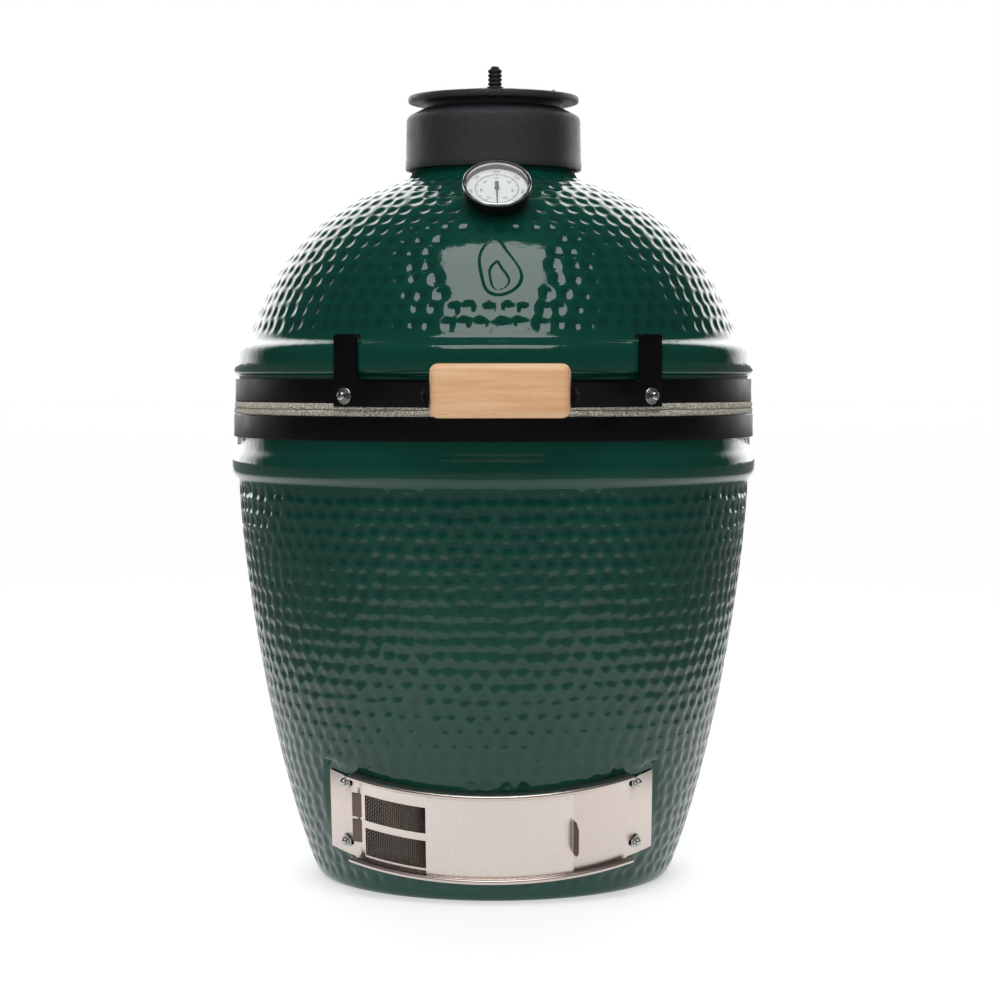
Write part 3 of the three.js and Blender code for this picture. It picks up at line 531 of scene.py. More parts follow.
# Stainless steel, drawn or brushed: bright, with fine scratches along one way that stretch its highlights.
def brushed(name, color, along, roughness=0.28):
    material, tree, principled, place = shader(name, Base_Color=linear(color), Metallic=1.0, Roughness=roughness)
    grain = node(tree, "Mapping", {"Vector": place, "Scale": along})
    scratch = node(tree, "TexNoise", {"Vector": grain.outputs[0], "Scale": 1.0, "Detail": 4.0, "Roughness": 0.65})
    haze = node(tree, "MapRange", {"Value": scratch.outputs["Fac"], "From Min": 0.3, "From Max": 0.7,
                                   "To Min": roughness - 0.03, "To Max": roughness + 0.04})
    feed(principled, Roughness=haze.outputs[0])
    bump = node(tree, "Bump", {"Strength": 0.07, "Distance": 0.0002, "Height": scratch.outputs["Fac"]})
    feed(principled, Normal=bump.outputs[0])
    return material


stainless_rod = brushed("drawn_stainless_steel", "#c4bfb8", (60, 60, 900), 0.24)
GRID_R = 228
GRID_Z = 452.3
hoop_outline = [(222, 1), (223, 0), (227, 0), (228, 1), (228, 5), (227, 6), (223, 6), (222, 5)]
grid_hoop = turned("grid_hoop", [(r, GRID_Z + z) for r, z in hoop_outline], 128)
wires = []
for i in range(18):
    across = (i - 8.5) * 24
    half = math.sqrt((GRID_R - 3) ** 2 - across ** 2)
    wires.append(rod("wire", 2.9, -half, half, 12, (across, 0, GRID_Z + 4), (90, 0, 0)))
for across in (-110, 110):
    half = math.sqrt(208 ** 2 - across ** 2)
    wires.append(rod("brace", 2.9, -half, half, 12, (0, across, GRID_Z + 1), (0, 90, 0)))
piece(joined("cooking_grid_rods", grid_hoop, *wires), stainless_rod, "cooking_grid", "cooking_grid",
      slot="stainless_steel", smooth=50)

# ---- Rim gaskets
# Two flat rings of heat-proof felt, glued to the two ceramic rims, so that the dome closes without leaking.
# Pressed felt: a salt-and-pepper grey with loose fibres at its cut edges.
felt = grained("grey_felt", "#5d5e54", "#f0ead6", (0.36, 0.64), (0.9, 0.0008), Roughness=0.95, Sheen_Weight=0.3)


def rim_gasket(name, low, bulge, body, node_name, seed):
    """A ring of felt whose outer edge bulges over the rim and wavers as it is pressed."""
    draw = np.random.default_rng(seed)
    top = low + 4
    outline = [(241, low + 0.6), (241.8, low), (266, low)] + bulge + [(266, top), (241.8, top), (241, top - 0.6)]
    obj = turned(name, outline, 360)
    points = positions(obj)
    around = np.arctan2(points[:, 1], points[:, 0])
    waver = sum(draw.uniform(0.06, 0.2) * np.sin(k * around + draw.uniform(0, 6.3)) for k in (5, 9, 14, 23, 41))
    points[:, :2] *= (1 + np.where(np.hypot(points[:, 0], points[:, 1]) > 255, waver, 0) / 266)[:, None]
    move_to(obj, points)
    return piece(obj, felt, body, node_name, slot="gasket_felt", smooth=60)


rim_gasket("base_rim_gasket", 483.8, [(268.5, 483.2), (268.6, 482.1), (269.4, 481.7), (270.3, 482.6), (270.6, 485),
                                      (270.2, 487.2), (269, 487.8)], "base", "base_gasket", 1)
rim_gasket("dome_rim_gasket", 488.1, [(269, 488.1), (270.2, 488.7), (270.6, 490.5), (270.2, 493), (269.4, 494.2),
                                      (267.4, 494.1), (266.9, 492.6)], "dome", "dome_gasket", 2)

# ---- Ceramic dome
# Cast and glazed like the base, with a smooth lip, a smooth neck for the cast iron top, and a smooth panel on its
# front that carries an embossed flame. The thermometer's stem goes through a hole above the panel.
DIAL = np.array([0, -181, 709])
DIAL_TILT = 43.5
DIAL_OUT = np.array([0, -math.sin(math.radians(DIAL_TILT)), math.cos(math.radians(DIAL_TILT))])
dome_wall = bend((256, 562), (229.2, 636.4), (191.5, 691.7), (96, 724), count=82)
dome_outline = [(240, 494.4), (240.6, 493), (242, 492.4), (254, 492.4), (264, 492.4), (265.7, 493), (266.3, 494.4)]
dome_outline += [(266.3, 505), (266.3, 519)] + bend((266.3, 519), (266.3, 524), (271.5, 521), (271.5, 528), count=7)
dome_outline += [(271.7, 534), (271.6, 541)] + bend((271.6, 541), (271.4, 556), (259, 551), (256, 562), count=11)
dome_outline += dome_wall + bend((96, 724), (89, 726.2), (86, 728), (86, 735), count=5)
dome_outline += [(86, 750), (86, 766), (86, 781.5), (84.5, 783), (66, 783), (64, 781.5), (64, 745), (64, 712)]
dome_outline += bend((64, 712), (64, 704), (70, 704), (78, 703), count=3)
dome_outline += bend((78, 703), (176, 676), (214, 626), (238, 552), count=12) + [(240, 535), (240, 515)]
ceramic_dome = turned("ceramic_dome", dome_outline, 560)


def on_dome_panel(point, half_width=51, low=589, high=664):
    """How far inside the smooth front panel a point is: under 1 is inside its rounded outline."""
    x, y, z = point
    if y > 0:
        return 9
    return (abs(x) / half_width) ** 3.2 + (abs(z - (low + high) / 2) / ((high - low) / 2)) ** 3.2


def smooth_on_dome(point):
    """True on the panel and round the thermometer."""
    beside = np.cross(np.array(point) - DIAL, DIAL_OUT)
    return on_dome_panel(point) < 1 or (np.linalg.norm(beside) < 40 and point[1] < 0)


dimpled(ceramic_dome, [(256, 562)] + dome_wall, seed=9, keep_out=smooth_on_dome)

# The panel's faces are split finer, and a flame with a hollow heart is raised out of them.
centres = np.empty(len(ceramic_dome.data.polygons) * 3)
ceramic_dome.data.polygons.foreach_get("center", centres)
centres = centres.reshape(-1, 3) / MM
PANEL_INNER_R = 175
outer_face = np.hypot(centres[:, 0], centres[:, 1]) > PANEL_INNER_R
chosen = [bool(o and on_dome_panel(c, 40, 588, 668) < 1) for c, o in zip(centres, outer_face)]
with editing_some(ceramic_dome, "FACE", "polygons", chosen):
    bpy.ops.mesh.subdivide(number_cuts=2, smoothness=0)


def flame_edge(t, size):
    """Half the width of a flame of height 1 at height t, pointed at the top and round below."""
    edge = size * np.sqrt(np.clip(t, 0, 1)) * np.clip(1 - t, 0, 1) ** 0.9 * 2.0
    return np.where((t > 0) & (t < 1), edge, -9.0)


def step(value, soft):
    """Rises from 0 to 1 as value passes 0, over a width."""
    return np.clip(value / soft + 0.5, 0, 1)


FLAME_RISE = 1.4
FLAME_LOW, FLAME_HIGH = 598, 656
HEART_LOW, HEART_HIGH = 603, 631
points = positions(ceramic_dome)
front = (points[:, 1] < 0) & (np.hypot(points[:, 0], points[:, 1]) > PANEL_INNER_R)
t = (points[:, 2] - FLAME_LOW) / (FLAME_HIGH - FLAME_LOW)
sway = 3.6 * np.sin(np.clip(t, 0, 1) * math.pi * 1.9)
outer_flame = flame_edge(t, 24.0) - np.abs(points[:, 0] - sway)
t_heart = (points[:, 2] - HEART_LOW) / (HEART_HIGH - HEART_LOW)
heart = flame_edge(t_heart, 11.0) - np.abs(points[:, 0] - 1.8 * np.sin(np.clip(t_heart, 0, 1) * math.pi * 1.9))
raised = step(outer_flame, 2.4) * (1 - step(heart, 2.4)) * front
lean = points * [1, 1, 0]
lean = lean / np.maximum(np.linalg.norm(lean, axis=1), 1)[:, None] * 0.8 + [0, 0, 0.6]
move_to(ceramic_dome, points + lean * (raised * FLAME_RISE)[:, None])
piece(raw_inside(ceramic_dome, 540), None, "dome", "dome_shell", slot="glazed_ceramic", smooth=60)

# ---- Steel bands
# Two strips of steel, rolled into open rings, coated black, and drawn tight round the rims by the bolts at the back.
# Black powder coat over steel: almost black, satin, with a faint orange peel.
black_steel, tree, principled, place = shader("black_powder_coat", Base_Color=linear("#060508"), Roughness=0.4,
                                       Specular_IOR_Level=0.2)
peel = node(tree, "TexNoise", {"Vector": place, "Scale": 420.0, "Detail": 2.0})  # 2.5 mm orange peel
bump = node(tree, "Bump", {"Strength": 0.25, "Distance": 0.0003, "Height": peel.outputs["Fac"]})
feed(principled, Normal=bump.outputs[0])
dust = node(tree, "TexNoise", {"Vector": place, "Scale": 25.0, "Detail": 3.0})
satin = node(tree, "MapRange", {"Value": dust.outputs["Fac"], "From Min": 0.3, "From Max": 0.7,
                                "To Min": 0.4, "To Max": 0.54})
feed(principled, Roughness=satin.outputs[0])


def steel_band(name, r, low, node_name, body):
    """One strip, 2.8 mm thick and 23 mm high, with its edges rounded and slightly dished in the middle."""
    out, top = r + 2.8, low + 23
    outline = [(r, low), (out - 0.9, low), (out - 0.2, low + 0.4), (out, low + 1.2), (out - 0.25, low + 11.5),
               (out, top - 1.2), (out - 0.2, top - 0.4), (out - 0.9, top), (r, top)]
    return piece(turned(name, outline, 236, sweep=354, start=93), black_steel, body, node_name,
                 slot="black_coated_steel", smooth=40)


steel_band("base_steel_band", 268.3, 458, "base_band", "base")
steel_band("dome_steel_band", 266.6, 494.5, "dome_band", "dome")

# ---- Rear hinge
# Two pressed steel leaves are bolted over the ends of the bands. Their cheeks turn on one long bolt, and a pair of
# coil springs round it helps to lift the dome.
def from_cad(name, node_name):
    """A copy of a CAD node's mesh as a new piece, with its loose triangles merged."""
    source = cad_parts[node_name]
    obj = bpy.data.objects.new(name, source.data.copy())
    bpy.context.scene.collection.objects.link(obj)
    with editing(obj):
        bpy.ops.mesh.remove_doubles(threshold=2e-5)
        bpy.ops.mesh.dissolve_limited(angle_limit=math.radians(0.8))
    return obj


def bevelled(name, node_name, width, segments=2):
    """A new piece from a CAD node, with its edges rounded."""
    return rounded(from_cad(name, node_name), width, angle=math.radians(30), segments=segments)


for leaf, body in (("lower", "base"), ("upper", "dome")):
    piece(bevelled(f"hinge_{leaf}_leaf_plate", f"hinge_{leaf}_leaf", 0.8), black_steel, body, f"hinge_{leaf}_leaf",
          slot="black_coated_steel")

# Bright zinc plate on steel: a cool silver, a little clouded.
zinc, tree, principled, place = shader("bright_zinc_plate", Base_Color=linear("#b9b9b6"), Metallic=1.0)
cloud = node(tree, "TexNoise", {"Vector": place, "Scale": 300.0, "Detail": 4.0})
haze = node(tree, "MapRange", {"Value": cloud.outputs["Fac"], "From Min": 0.3, "From Max": 0.7,
                               "To Min": 0.16, "To Max": 0.38})
feed(principled, Roughness=haze.outputs[0])
bump = node(tree, "Bump", {"Strength": 0.2, "Distance": 0.0001, "Height": cloud.outputs["Fac"]})
feed(principled, Normal=bump.outputs[0])
piece(bevelled("hinge_long_bolt", "hinge_pin", 0.6), zinc, "base", "hinge_pin", slot="zinc_plated_steel")
piece(bevelled("hinge_lock_nut", "hinge_pin_nut", 0.6), zinc, "base", "hinge_pin_nut", slot="zinc_plated_steel")


HINGE_Y, HINGE_Z = 305, 487.9
COIL_R = 9.6


def hinge_spring(name, side):
    """A torsion spring of 3 mm wire: a leg, close coils round the bolt, and a leg, as one swept curve."""
    points = []
    for i in range(161):
        t = i / 160
        turn = min(max((t - 0.1) / 0.8, 0), 1)
        angle = math.radians(225 + 1710 * turn)
        out = 27 * (min(0, t / 0.1 - 1) + max(0, (t - 1) / 0.1 + 1))
        points.append((side * (4.5 + 16.5 * turn), HINGE_Y + COIL_R * math.cos(angle) - out * math.sin(angle),
                       HINGE_Z + COIL_R * math.sin(angle) + out * math.cos(angle)))
    curve = bpy.data.curves.new(name, "CURVE")
    curve.dimensions = "3D"
    curve.bevel_depth = 1.5 * MM
    curve.bevel_resolution = 3
    curve.use_fill_caps = True
    spline = curve.splines.new("POLY")
    spline.points.add(len(points) - 1)
    for target, point in zip(spline.points, points):
        target.co = (*(Vector(point) * MM), 1)
    obj = bpy.data.objects.new(name, curve)
    bpy.context.scene.collection.objects.link(obj)
    only(obj)
    bpy.ops.object.convert(target="MESH")
    return bpy.context.active_object


for name, side in (("right", 1), ("left", -1)):
    piece(hinge_spring(f"spring_coil_{name}", side), zinc, "base", f"hinge_spring_{name}", slot="zinc_plated_steel",
          smooth=50)


def hex_bolt(name, across, head, washer, shank, reach, dome=False):
    """A bolt along Z: shank, flat washer, and a hexagon head with turned-off corners, or one with a domed cap."""
    flat = turned("washer", [(0, 0), (washer - 0.3, 0), (washer, 0.3), (washer, 1.2), (washer - 0.3, 1.5),
                             (0, 1.5)], 32)
    hexagon = rod("head", across, 1.4, 1.4 + head, 6)
    rounded(hexagon, 0.35)
    chamfer = turned("chamfer", [(0, 1), (across * 0.93, 1), (across * 1.02, 2.2), (across * 1.02, 0.8 + head),
                                 (across * 0.86, 1.45 + head), (0, 1.45 + head)], 32)
    combined(hexagon, chamfer, operation="INTERSECT")
    parts = [hexagon, flat, rod("shank", shank, -reach, 1, 16)]
    if dome:
        r = across * 0.74
        cap = [(r, 1 + head)] + bend((r, 1 + head), (r, 2 + head + r * 0.6), (r * 0.6, 1.6 + head + r * 0.85),
                                     (0, 1.6 + head + r * 0.85), count=7) + [(0, 1 + head)]
        parts.append(turned("cap", cap, 24))
    else:
        parts.append(turned("mark", [(0, 1.3 + head), (across * 0.5, 1.3 + head), (across * 0.42, 1.7 + head),
                                     (0, 1.7 + head)], 24))
    return joined(name, *parts)


def out_from_axis(obj, angle, r, z):
    """Turns a piece made along Z to point away from the grill's axis, at an angle from the front."""
    placed(obj, turn=(90, 0, 0))
    placed(obj, (r * math.sin(math.radians(angle)), -r * math.cos(math.radians(angle)), z), (0, 0, angle))
    return obj


for band, body, angle, r, z in (("base", "base", 7, 275.7, 469.5), ("dome", "dome", 4.8, 274.0, 506)):
    for name, side in (("left", 1), ("right", -1)):
        bolt = out_from_axis(hex_bolt(f"{band}_rear_bolt_{name}", 6.5, 4.5, 8.5, 4, 7.1), 180 + side * angle, r, z)
        piece(bolt, zinc, body, f"{band}_band_bolt_{name}", slot="zinc_plated_steel")

# ---- Handle
# A bar of hardwood, rounded all over, is held between two bent steel brackets by black screws in its ends. Each
# bracket is bolted to the dome's band and hooks over the dome's lip.
# Oiled beech: pale, warm, with long fine grain, darker flecks and a soft polish.
def hardwood(name):
    material, tree, principled, place = shader(name, Roughness=0.5)
    stretch = node(tree, "Mapping", {"Vector": place, "Scale": (7, 130, 130)})
    grain = node(tree, "TexNoise", {"Vector": stretch.outputs[0], "Scale": 1.0, "Detail": 5.0, "Roughness": 0.6,
                                    "Distortion": 0.35})
    rings = node(tree, "Mapping", {"Vector": place, "Scale": (2.2, 34, 34)})
    broad = node(tree, "TexNoise", {"Vector": rings.outputs[0], "Scale": 1.0, "Detail": 2.0, "Distortion": 0.8})
    fleck = node(tree, "Mapping", {"Vector": place, "Scale": (90, 1100, 1100)})
    pores = node(tree, "TexNoise", {"Vector": fleck.outputs[0], "Scale": 1.0, "Detail": 2.0})
    mixed = node(tree, "Math", {0: broad.outputs["Fac"], 1: 0.6, 2: grain.outputs["Fac"]}, operation="MULTIPLY_ADD")
    tone = node(tree, "ValToRGB", {"Fac": mixed.outputs[0]})
    tone.color_ramp.elements[0].position, tone.color_ramp.elements[0].color = 0.62, linear("#e8b182")
    tone.color_ramp.elements[1].position, tone.color_ramp.elements[1].color = 0.98, linear("#fbd3a6")
    dark = node(tree, "MapRange", {"Value": pores.outputs["Fac"], "From Min": 0.62, "From Max": 0.72,
                                   "To Min": 0.0, "To Max": 0.45})
    color = node(tree, "Mix", {"Factor": dark.outputs[0], "A": tone.outputs["Color"], "B": linear("#c58d5c")},
                 data_type="RGBA")
    feed(principled, Base_Color=color.outputs["Result"])
    bump = node(tree, "Bump", {"Strength": 0.3, "Distance": 0.0003, "Height": grain.outputs["Fac"]})
    feed(principled, Normal=bump.outputs[0])
    return material


GRIP_Y, GRIP_Z = -316, 507
grip = block("wooden_grip", (-66, GRIP_Y - 14, GRIP_Z - 25.5), (66, GRIP_Y + 14, GRIP_Z + 25.5))
ends = [[grip.data.vertices[i].co.x for i in edge.vertices] for edge in grip.data.edges]
with editing_some(grip, "EDGE", "edges", [abs(a - b) > 0.1 for a, b in ends]):  # the four long edges
    bpy.ops.mesh.bevel(offset=9.5 * MM, segments=10, profile=0.55)
piece(rounded(grip, 1.1, segments=3), hardwood("oiled_beech"), "dome", "handle_grip", slot="hardwood", smooth=40)

BOLT_ANGLE, BOLT_Z = 32.4, 501.5
for name, side in (("left", -1), ("right", 1)):
    bracket = bevelled(f"bracket_{name}", f"handle_bracket_{name}", 0.9, 3)
    piece(bracket, black_steel, "dome", f"handle_bracket_{name}", slot="black_coated_steel")
    spacer = turned(f"spacer_{name}", [(4.4, 0), (8.6, 0), (9, 0.4), (9, 2), (8.6, 2.4), (4.4, 2.4)], 32)
    piece(out_from_axis(spacer, side * BOLT_ANGLE, 269.7, BOLT_Z), zinc, "dome", f"bracket_spacer_{name}",
          slot="zinc_plated_steel")
    nut = hex_bolt(f"cap_nut_{name}", 6.2, 3.6, 8, 4, 9.1, dome=True)
    piece(out_from_axis(nut, side * BOLT_ANGLE, 276.0, BOLT_Z), zinc, "dome", f"bracket_bolt_{name}",
          slot="zinc_plated_steel")
    screw = hex_bolt(f"grip_screw_{name}", 4.6, 2.5, 6.5, 3, 18)
    placed(screw, (side * 70.1, GRIP_Y, 502.5), (0, side * 90, 0))
    piece(screw, black_steel, "dome", f"handle_screw_{name}", slot="zinc_plated_steel")

# ---- Thermometer
# A black pressed steel can with a crimped chrome ring, a printed dial, a needle on a bimetal coil, and a domed glass.
# Its stem goes through the dome and a spring clip holds it.
def on_dial(obj):
    """From the thermometer's own frame, with the dial facing +Z and its top at +Y, to its place on the dome."""
    return placed(obj, tuple(DIAL), (DIAL_TILT, 0, 0))


# Chrome: a mirror with faint fingerprints.
chrome, tree, principled, place = shader("polished_chrome", Base_Color=linear("#d8d8d6"), Metallic=1.0, Roughness=0.1)
smear = node(tree, "TexNoise", {"Vector": place, "Scale": 120.0, "Detail": 3.0})
haze = node(tree, "MapRange", {"Value": smear.outputs["Fac"], "From Min": 0.35, "From Max": 0.7,
                               "To Min": 0.06, "To Max": 0.2})
feed(principled, Roughness=haze.outputs[0])
can = [(4, -12), (30, -12), (32.6, -11.6), (33.4, -10.4), (33.4, -2.2), (31, -2.2), (31, -8), (4, -8)]
bezel = [(31, -2.1), (33.6, -2.1), (34, -1.6), (34, 0.4)]
bezel += bend((34, 0.4), (34, 1.5), (33, 1.9), (32.2, 1.6), count=4) + [(31, 0.6)]
piece(on_dial(turned("thermometer_can", can, 96)), black_steel, "dome", "thermometer_case", slot="chrome_steel")
piece(on_dial(turned("crimped_bezel", bezel, 96)), chrome, "dome", slot="chrome_steel")


def mottled(name, dark, light, scale, roughness, detail=2.0):
    """An even finish of two close tones, mixed by a fine noise."""
    material, tree, principled, place = shader(name, Roughness=roughness)
    noise = node(tree, "TexNoise", {"Vector": place, "Scale": scale, "Detail": detail})
    tone = node(tree, "Mix", {"Factor": noise.outputs["Fac"], "A": linear(dark), "B": linear(light)},
                data_type="RGBA")
    feed(principled, Base_Color=tone.outputs["Result"])
    return material


# Printed enamel: a clean cool white, faintly mottled. The print is a thin dark grey ink.
dial_white = mottled("white_dial_enamel", "#e9eeec", "#f6f9f8", 500.0, 0.4)
ink = mottled("dial_ink", "#3a4042", "#596062", 900.0, 0.5)
dial = turned("dial_plate", [(0, -7.7), (30.4, -7.7), (30.7, -7.4), (30.7, -7.0), (30.4, -6.7), (0, -6.7)], 96)
piece(on_dial(dial), dial_white, "dome", "thermometer_dial", slot="dial_enamel")
PRINT_LOW, PRINT_HIGH = -6.72, -6.62
INNER_RING = 21.4
DIAL_START = -150
marks = []
for i in range(61):
    half, start = (0.34, 18.6) if i % 5 == 0 else (0.18, 19.8)
    mark = block("mark", (-half, start, PRINT_LOW), (half, INNER_RING, PRINT_HIGH))
    marks.append(placed(mark, turn=(0, 0, -DIAL_START - 5 * i)))
for r in (INNER_RING, 30.0):
    marks.append(turned("ring", [(r, PRINT_LOW), (r + 0.45, PRINT_LOW), (r + 0.45, PRINT_HIGH), (r, PRINT_HIGH)], 96))
for i in range(14):
    outer = i < 7
    number = added("number", bpy.ops.object.text_add)
    number.data.body = str(50 + 50 * i) if outer else str(100 * (i - 6))
    number.data.align_x = "CENTER"
    number.data.align_y = "CENTER"
    number.data.size = (4.6 if outer else 3.4) * MM
    number.data.extrude = 0.05 * MM
    bpy.ops.object.convert(target="MESH")
    number = bpy.context.active_object
    angle = DIAL_START + 50 * (i % 7)
    placed(number, around(25.6 if outer else 15.4, 90 - angle, (PRINT_LOW + PRINT_HIGH) / 2), (0, 0, -angle))
    marks.append(number)
piece(on_dial(joined("dial_print", *marks)), ink, "dome", slot="dial_enamel")

needle_outline = [(-0.45, -24), (0.45, -24), (1.0, 0), (1.9, 3), (1.9, 9), (0, 10.4), (-1.9, 9), (-1.9, 3), (-1.0, 0)]
needle = drawn("needle_pointer", [(x, y, -5.9) for x, y in needle_outline], closed=True)
modified(needle, "SOLIDIFY", thickness=0.7 * MM, offset=1)
with editing(needle):
    bpy.ops.mesh.normals_make_consistent(inside=False)
points = positions(needle)
points[:, 2] += -5.2 - points[:, 2].max()
move_to(needle, points)
hub = turned("hub", [(0, -6.3), (2.4, -6.3), (2.4, -4.9), (2.0, -4.6), (0, -4.6)], 32)
# Matt black paint on an aluminium pointer.
needle_black = mottled("matt_black_paint", "#0c0c0d", "#1c1c1e", 1500.0, 0.55)
piece(on_dial(joined("needle_and_hub", needle, hub)), needle_black, "needle", "thermometer_needle",
      slot="black_aluminium")

# Clear glass, slightly domed.
clear_glass = shader("clear_glass", Base_Color=linear("#ffffff"), Roughness=0.02, IOR=1.45, Alpha=0.1)[0]
lens = turned("dial_glass", [(0, -2.4), (30.5, -2.4), (30.5, -1.2), (26, -0.6), (18, 0.1), (9, 0.5), (0, 0.6)], 96)
piece(on_dial(lens), clear_glass, "dome", "thermometer_lens", slot="dial_glass")

nut = rod("stem_nut", 7, -18, -12.3, 6)
rounded(nut, 0.5)
stem = turned("stem", [(0, -11), (3.6, -11), (3.6, -17.5), (3.0, -19), (3.0, -84)] +
              bend((3, -84), (3, -88), (1, -89), (0, -89), count=5), 24)
piece(on_dial(joined("thermometer_rod", nut, stem)), zinc, "dome", "thermometer_stem", slot="zinc_plated_steel")
clip = turned("clip", [(3.4, -65.6), (11, -63.6), (11.4, -63.1), (11, -62.8), (3.4, -64.8)], 48)
piece(on_dial(clip), zinc, "dome", "thermometer_clip", slot="zinc_plated_steel")

# ---- Cast iron top
# A cast collar drops over the neck on a felt washer. Its cap swings aside on a rear bolt, a daisy wheel turns on the
# cap's middle bolt to open or close five petals, and a ribbed sleeve keeps the front post cool to the touch.
washer = turned("neck_gasket", [(65, 783.4), (65.6, 783.3), (84, 783.3), (85, 783.9), (85.2, 784.8), (85, 785.7),
                                (84, 786.3), (65.6, 786.3), (65, 785.7)], 160)
piece(washer, felt, "vent_top", "vent_gasket", slot="gasket_felt")
collar_outline = [(87.3, 734.6), (88, 734), (90.6, 734), (91.6, 734.6), (92, 736), (92, 741), (91.4, 745),
                  (91.1, 758), (90.9, 772), (90.7, 784)]
collar_outline += bend((90.7, 784), (90.6, 789.5), (87.5, 791), (84.5, 792.4), count=6) + [(79, 795), (74.6, 797.4)]
collar_outline += [(73.4, 798), (61, 798), (60, 797.2), (60, 787.4), (60.6, 786.6), (86.4, 786.6), (87.3, 785.8),
                   (87.3, 760)]
collar = turned("cast_collar", collar_outline, 192)
PIVOT_Y = 82
combined(collar, rod("lug", 11, 786.6, 798, 48, (0, PIVOT_Y, 0)), operation="UNION")
combined(collar, rod("tapped_hole", 4.3, 788.1, 808, 32, (0, PIVOT_Y, 0)))
piece(rounded(collar, 0.5), cast_iron, "vent_top", "vent_collar", slot="cast_iron", smooth=35)


def petal_punch(angle, low, high):
    """One petal: narrow towards the middle, wide and round outside."""
    outline = [(22 + 6 * math.cos(a), 6 * math.sin(a), low) for a in np.radians(np.linspace(105, 255, 13))]
    outline += [(40 + 10 * math.cos(a), 10 * math.sin(a), low) for a in np.radians(np.linspace(-105, 105, 21))]
    petal = drawn("petal", outline, closed=True)
    with editing(petal):
        bpy.ops.mesh.extrude_region_move(TRANSFORM_OT_translate={"value": (0, 0, (high - low) * MM)})
        bpy.ops.mesh.select_all(action="SELECT")
        bpy.ops.mesh.normals_make_consistent(inside=False)
    return placed(petal, turn=(0, 0, angle))


cap = turned("cast_cap", [(0, 803.6), (62.5, 803.6), (62.5, 798.9), (63.1, 798.3), (70.9, 798.3), (71.5, 798.9),
                          (71.5, 802.6), (72.5, 803.6), (86, 803.6), (88.1, 804.4), (89, 806.2), (89, 808.8),
                          (88.2, 810.6), (86.4, 811.4), (84, 811.4), (56, 811.4), (0, 811.4)], 192)
POST_Y = -79
combined(cap, rod("boss", 9, 798.3, 804.6, 48, (0, PIVOT_Y, 0)), operation="UNION")
combined(cap, *[petal_punch(90 + 72 * i, 796, 815) for i in range(5)], rod("bore", 4.3, 790, 820, 32),
         rod("bore", 4.3, 790, 820, 32, (0, PIVOT_Y, 0)), rod("bore", 3.3, 805.2, 820, 32, (0, POST_Y, 0)))
piece(rounded(cap, 0.6), cast_iron, "vent_cap", "vent_cap", slot="cast_iron", smooth=35)

wheel_outline = [(0, 811.7), (52.4, 811.7), (53, 812.3), (53, 814.3), (52, 815.3), (0, 815.3)]
wheel = turned("cast_daisy_wheel", wheel_outline, 128)
lever = block("lever", (50, -5, 811.7), (64, 5, 815.3))
thumb = block("thumb", (61, -5, 811.7), (64, 5, 818.3))
combined(wheel, combined(lever, thumb, operation="UNION"), operation="UNION")
combined(wheel, *[petal_punch(126 + 72 * i, 805, 820) for i in range(5)], rod("bore", 4.3, 805, 820, 32))
piece(rounded(wheel, 0.7), cast_iron, "daisy_wheel", "daisy_wheel", slot="cast_iron", smooth=35)
piece(placed(hex_bolt("cap_middle_bolt", 6.5, 2.6, 9, 4, 16.4), (0, 0, 815.6)), cast_iron, "vent_cap",
      "daisy_bolt", slot="cast_iron")
piece(bevelled("cap_middle_nut", "daisy_nut", 0.5), zinc, "vent_cap", "daisy_nut", slot="zinc_plated_steel")
piece(placed(hex_bolt("cap_rear_bolt", 6.5, 3, 9, 4, 22), (0, PIVOT_Y, 811.7)), cast_iron, "vent_top",
      "vent_pivot_bolt", slot="cast_iron")

post = turned("front_post", [(0, 805.8), (3, 805.8), (3, 811.7), (8.6, 811.7), (9, 812.3), (8.6, 813), (7.2, 813.8),
                             (3.4, 814.1), (3.2, 814.6), (3.2, 831.6), (4.1, 831.7), (4.4, 832.2), (4.3, 833),
                             (2.8, 834), (0, 834)], 40)
piece(placed(post, (0, POST_Y, 0)), cast_iron, "vent_cap", "vent_knob_post", slot="cast_iron")
sleeve = [(3.5, 814.4)]
for i in range(4):
    low = 814.4 + 4.22 * i
    sleeve += [(5.4, low), (6.6, low + 0.6), (7, low + 1.3), (7, low + 2.6), (6.6, low + 3.3), (5.4, low + 3.9)]
sleeve += [(5.2, 831.2), (3.5, 831.2)]
# Silicone rubber: dull black, slightly dusty.
silicone = mottled("black_silicone", "#101011", "#232325", 700.0, 0.7, detail=3.0)
piece(placed(turned("ribbed_sleeve", sleeve, 40), (0, POST_Y, 0)), silicone, "vent_cap", "vent_knob_sleeve",
      slot="silicone_rubber", smooth=50)

# ---- Draft door
# A curved stainless plate is screwed to the base over its air opening. Its two rails, rolled over at their edges,
# hold a screen frame with woven mesh and a solid door, which slide past each other and have folded tabs.
def rolled(obj, pitch=4):
    """Turns the flat facets of a piece in the doors' own frame, each pitch degrees wide, into a true curve: they are
    split at each degree and the new points moved out."""
    obj.data.transform(draft_place.inverted() @ Matrix.Scale(1 / MM, 4))
    with editing(obj):
        for angle in range(-50, 51):
            if angle % pitch:
                bpy.ops.mesh.select_all(action="SELECT")
                bpy.ops.mesh.bisect(plane_co=(0, 0, 0), plane_no=around(1, angle))
    local = positions(obj) * MM
    angle = np.degrees(np.arctan2(local[:, 0], -local[:, 1]))
    off = angle - (np.floor(angle / pitch + 1e-6) + 0.5) * pitch
    local[:, :2] *= (np.cos(np.radians(off)) / math.cos(math.radians(pitch / 2)))[:, None]
    move_to(obj, local / MM)
    return tilted(obj, MM)


def sheet_metal(name, node_name):
    """A curved sheet from the CAD, rolled to a true curve, with its cut edges rounded."""
    return rounded(rolled(from_cad(name, node_name)), 0.35, angle=math.radians(40))


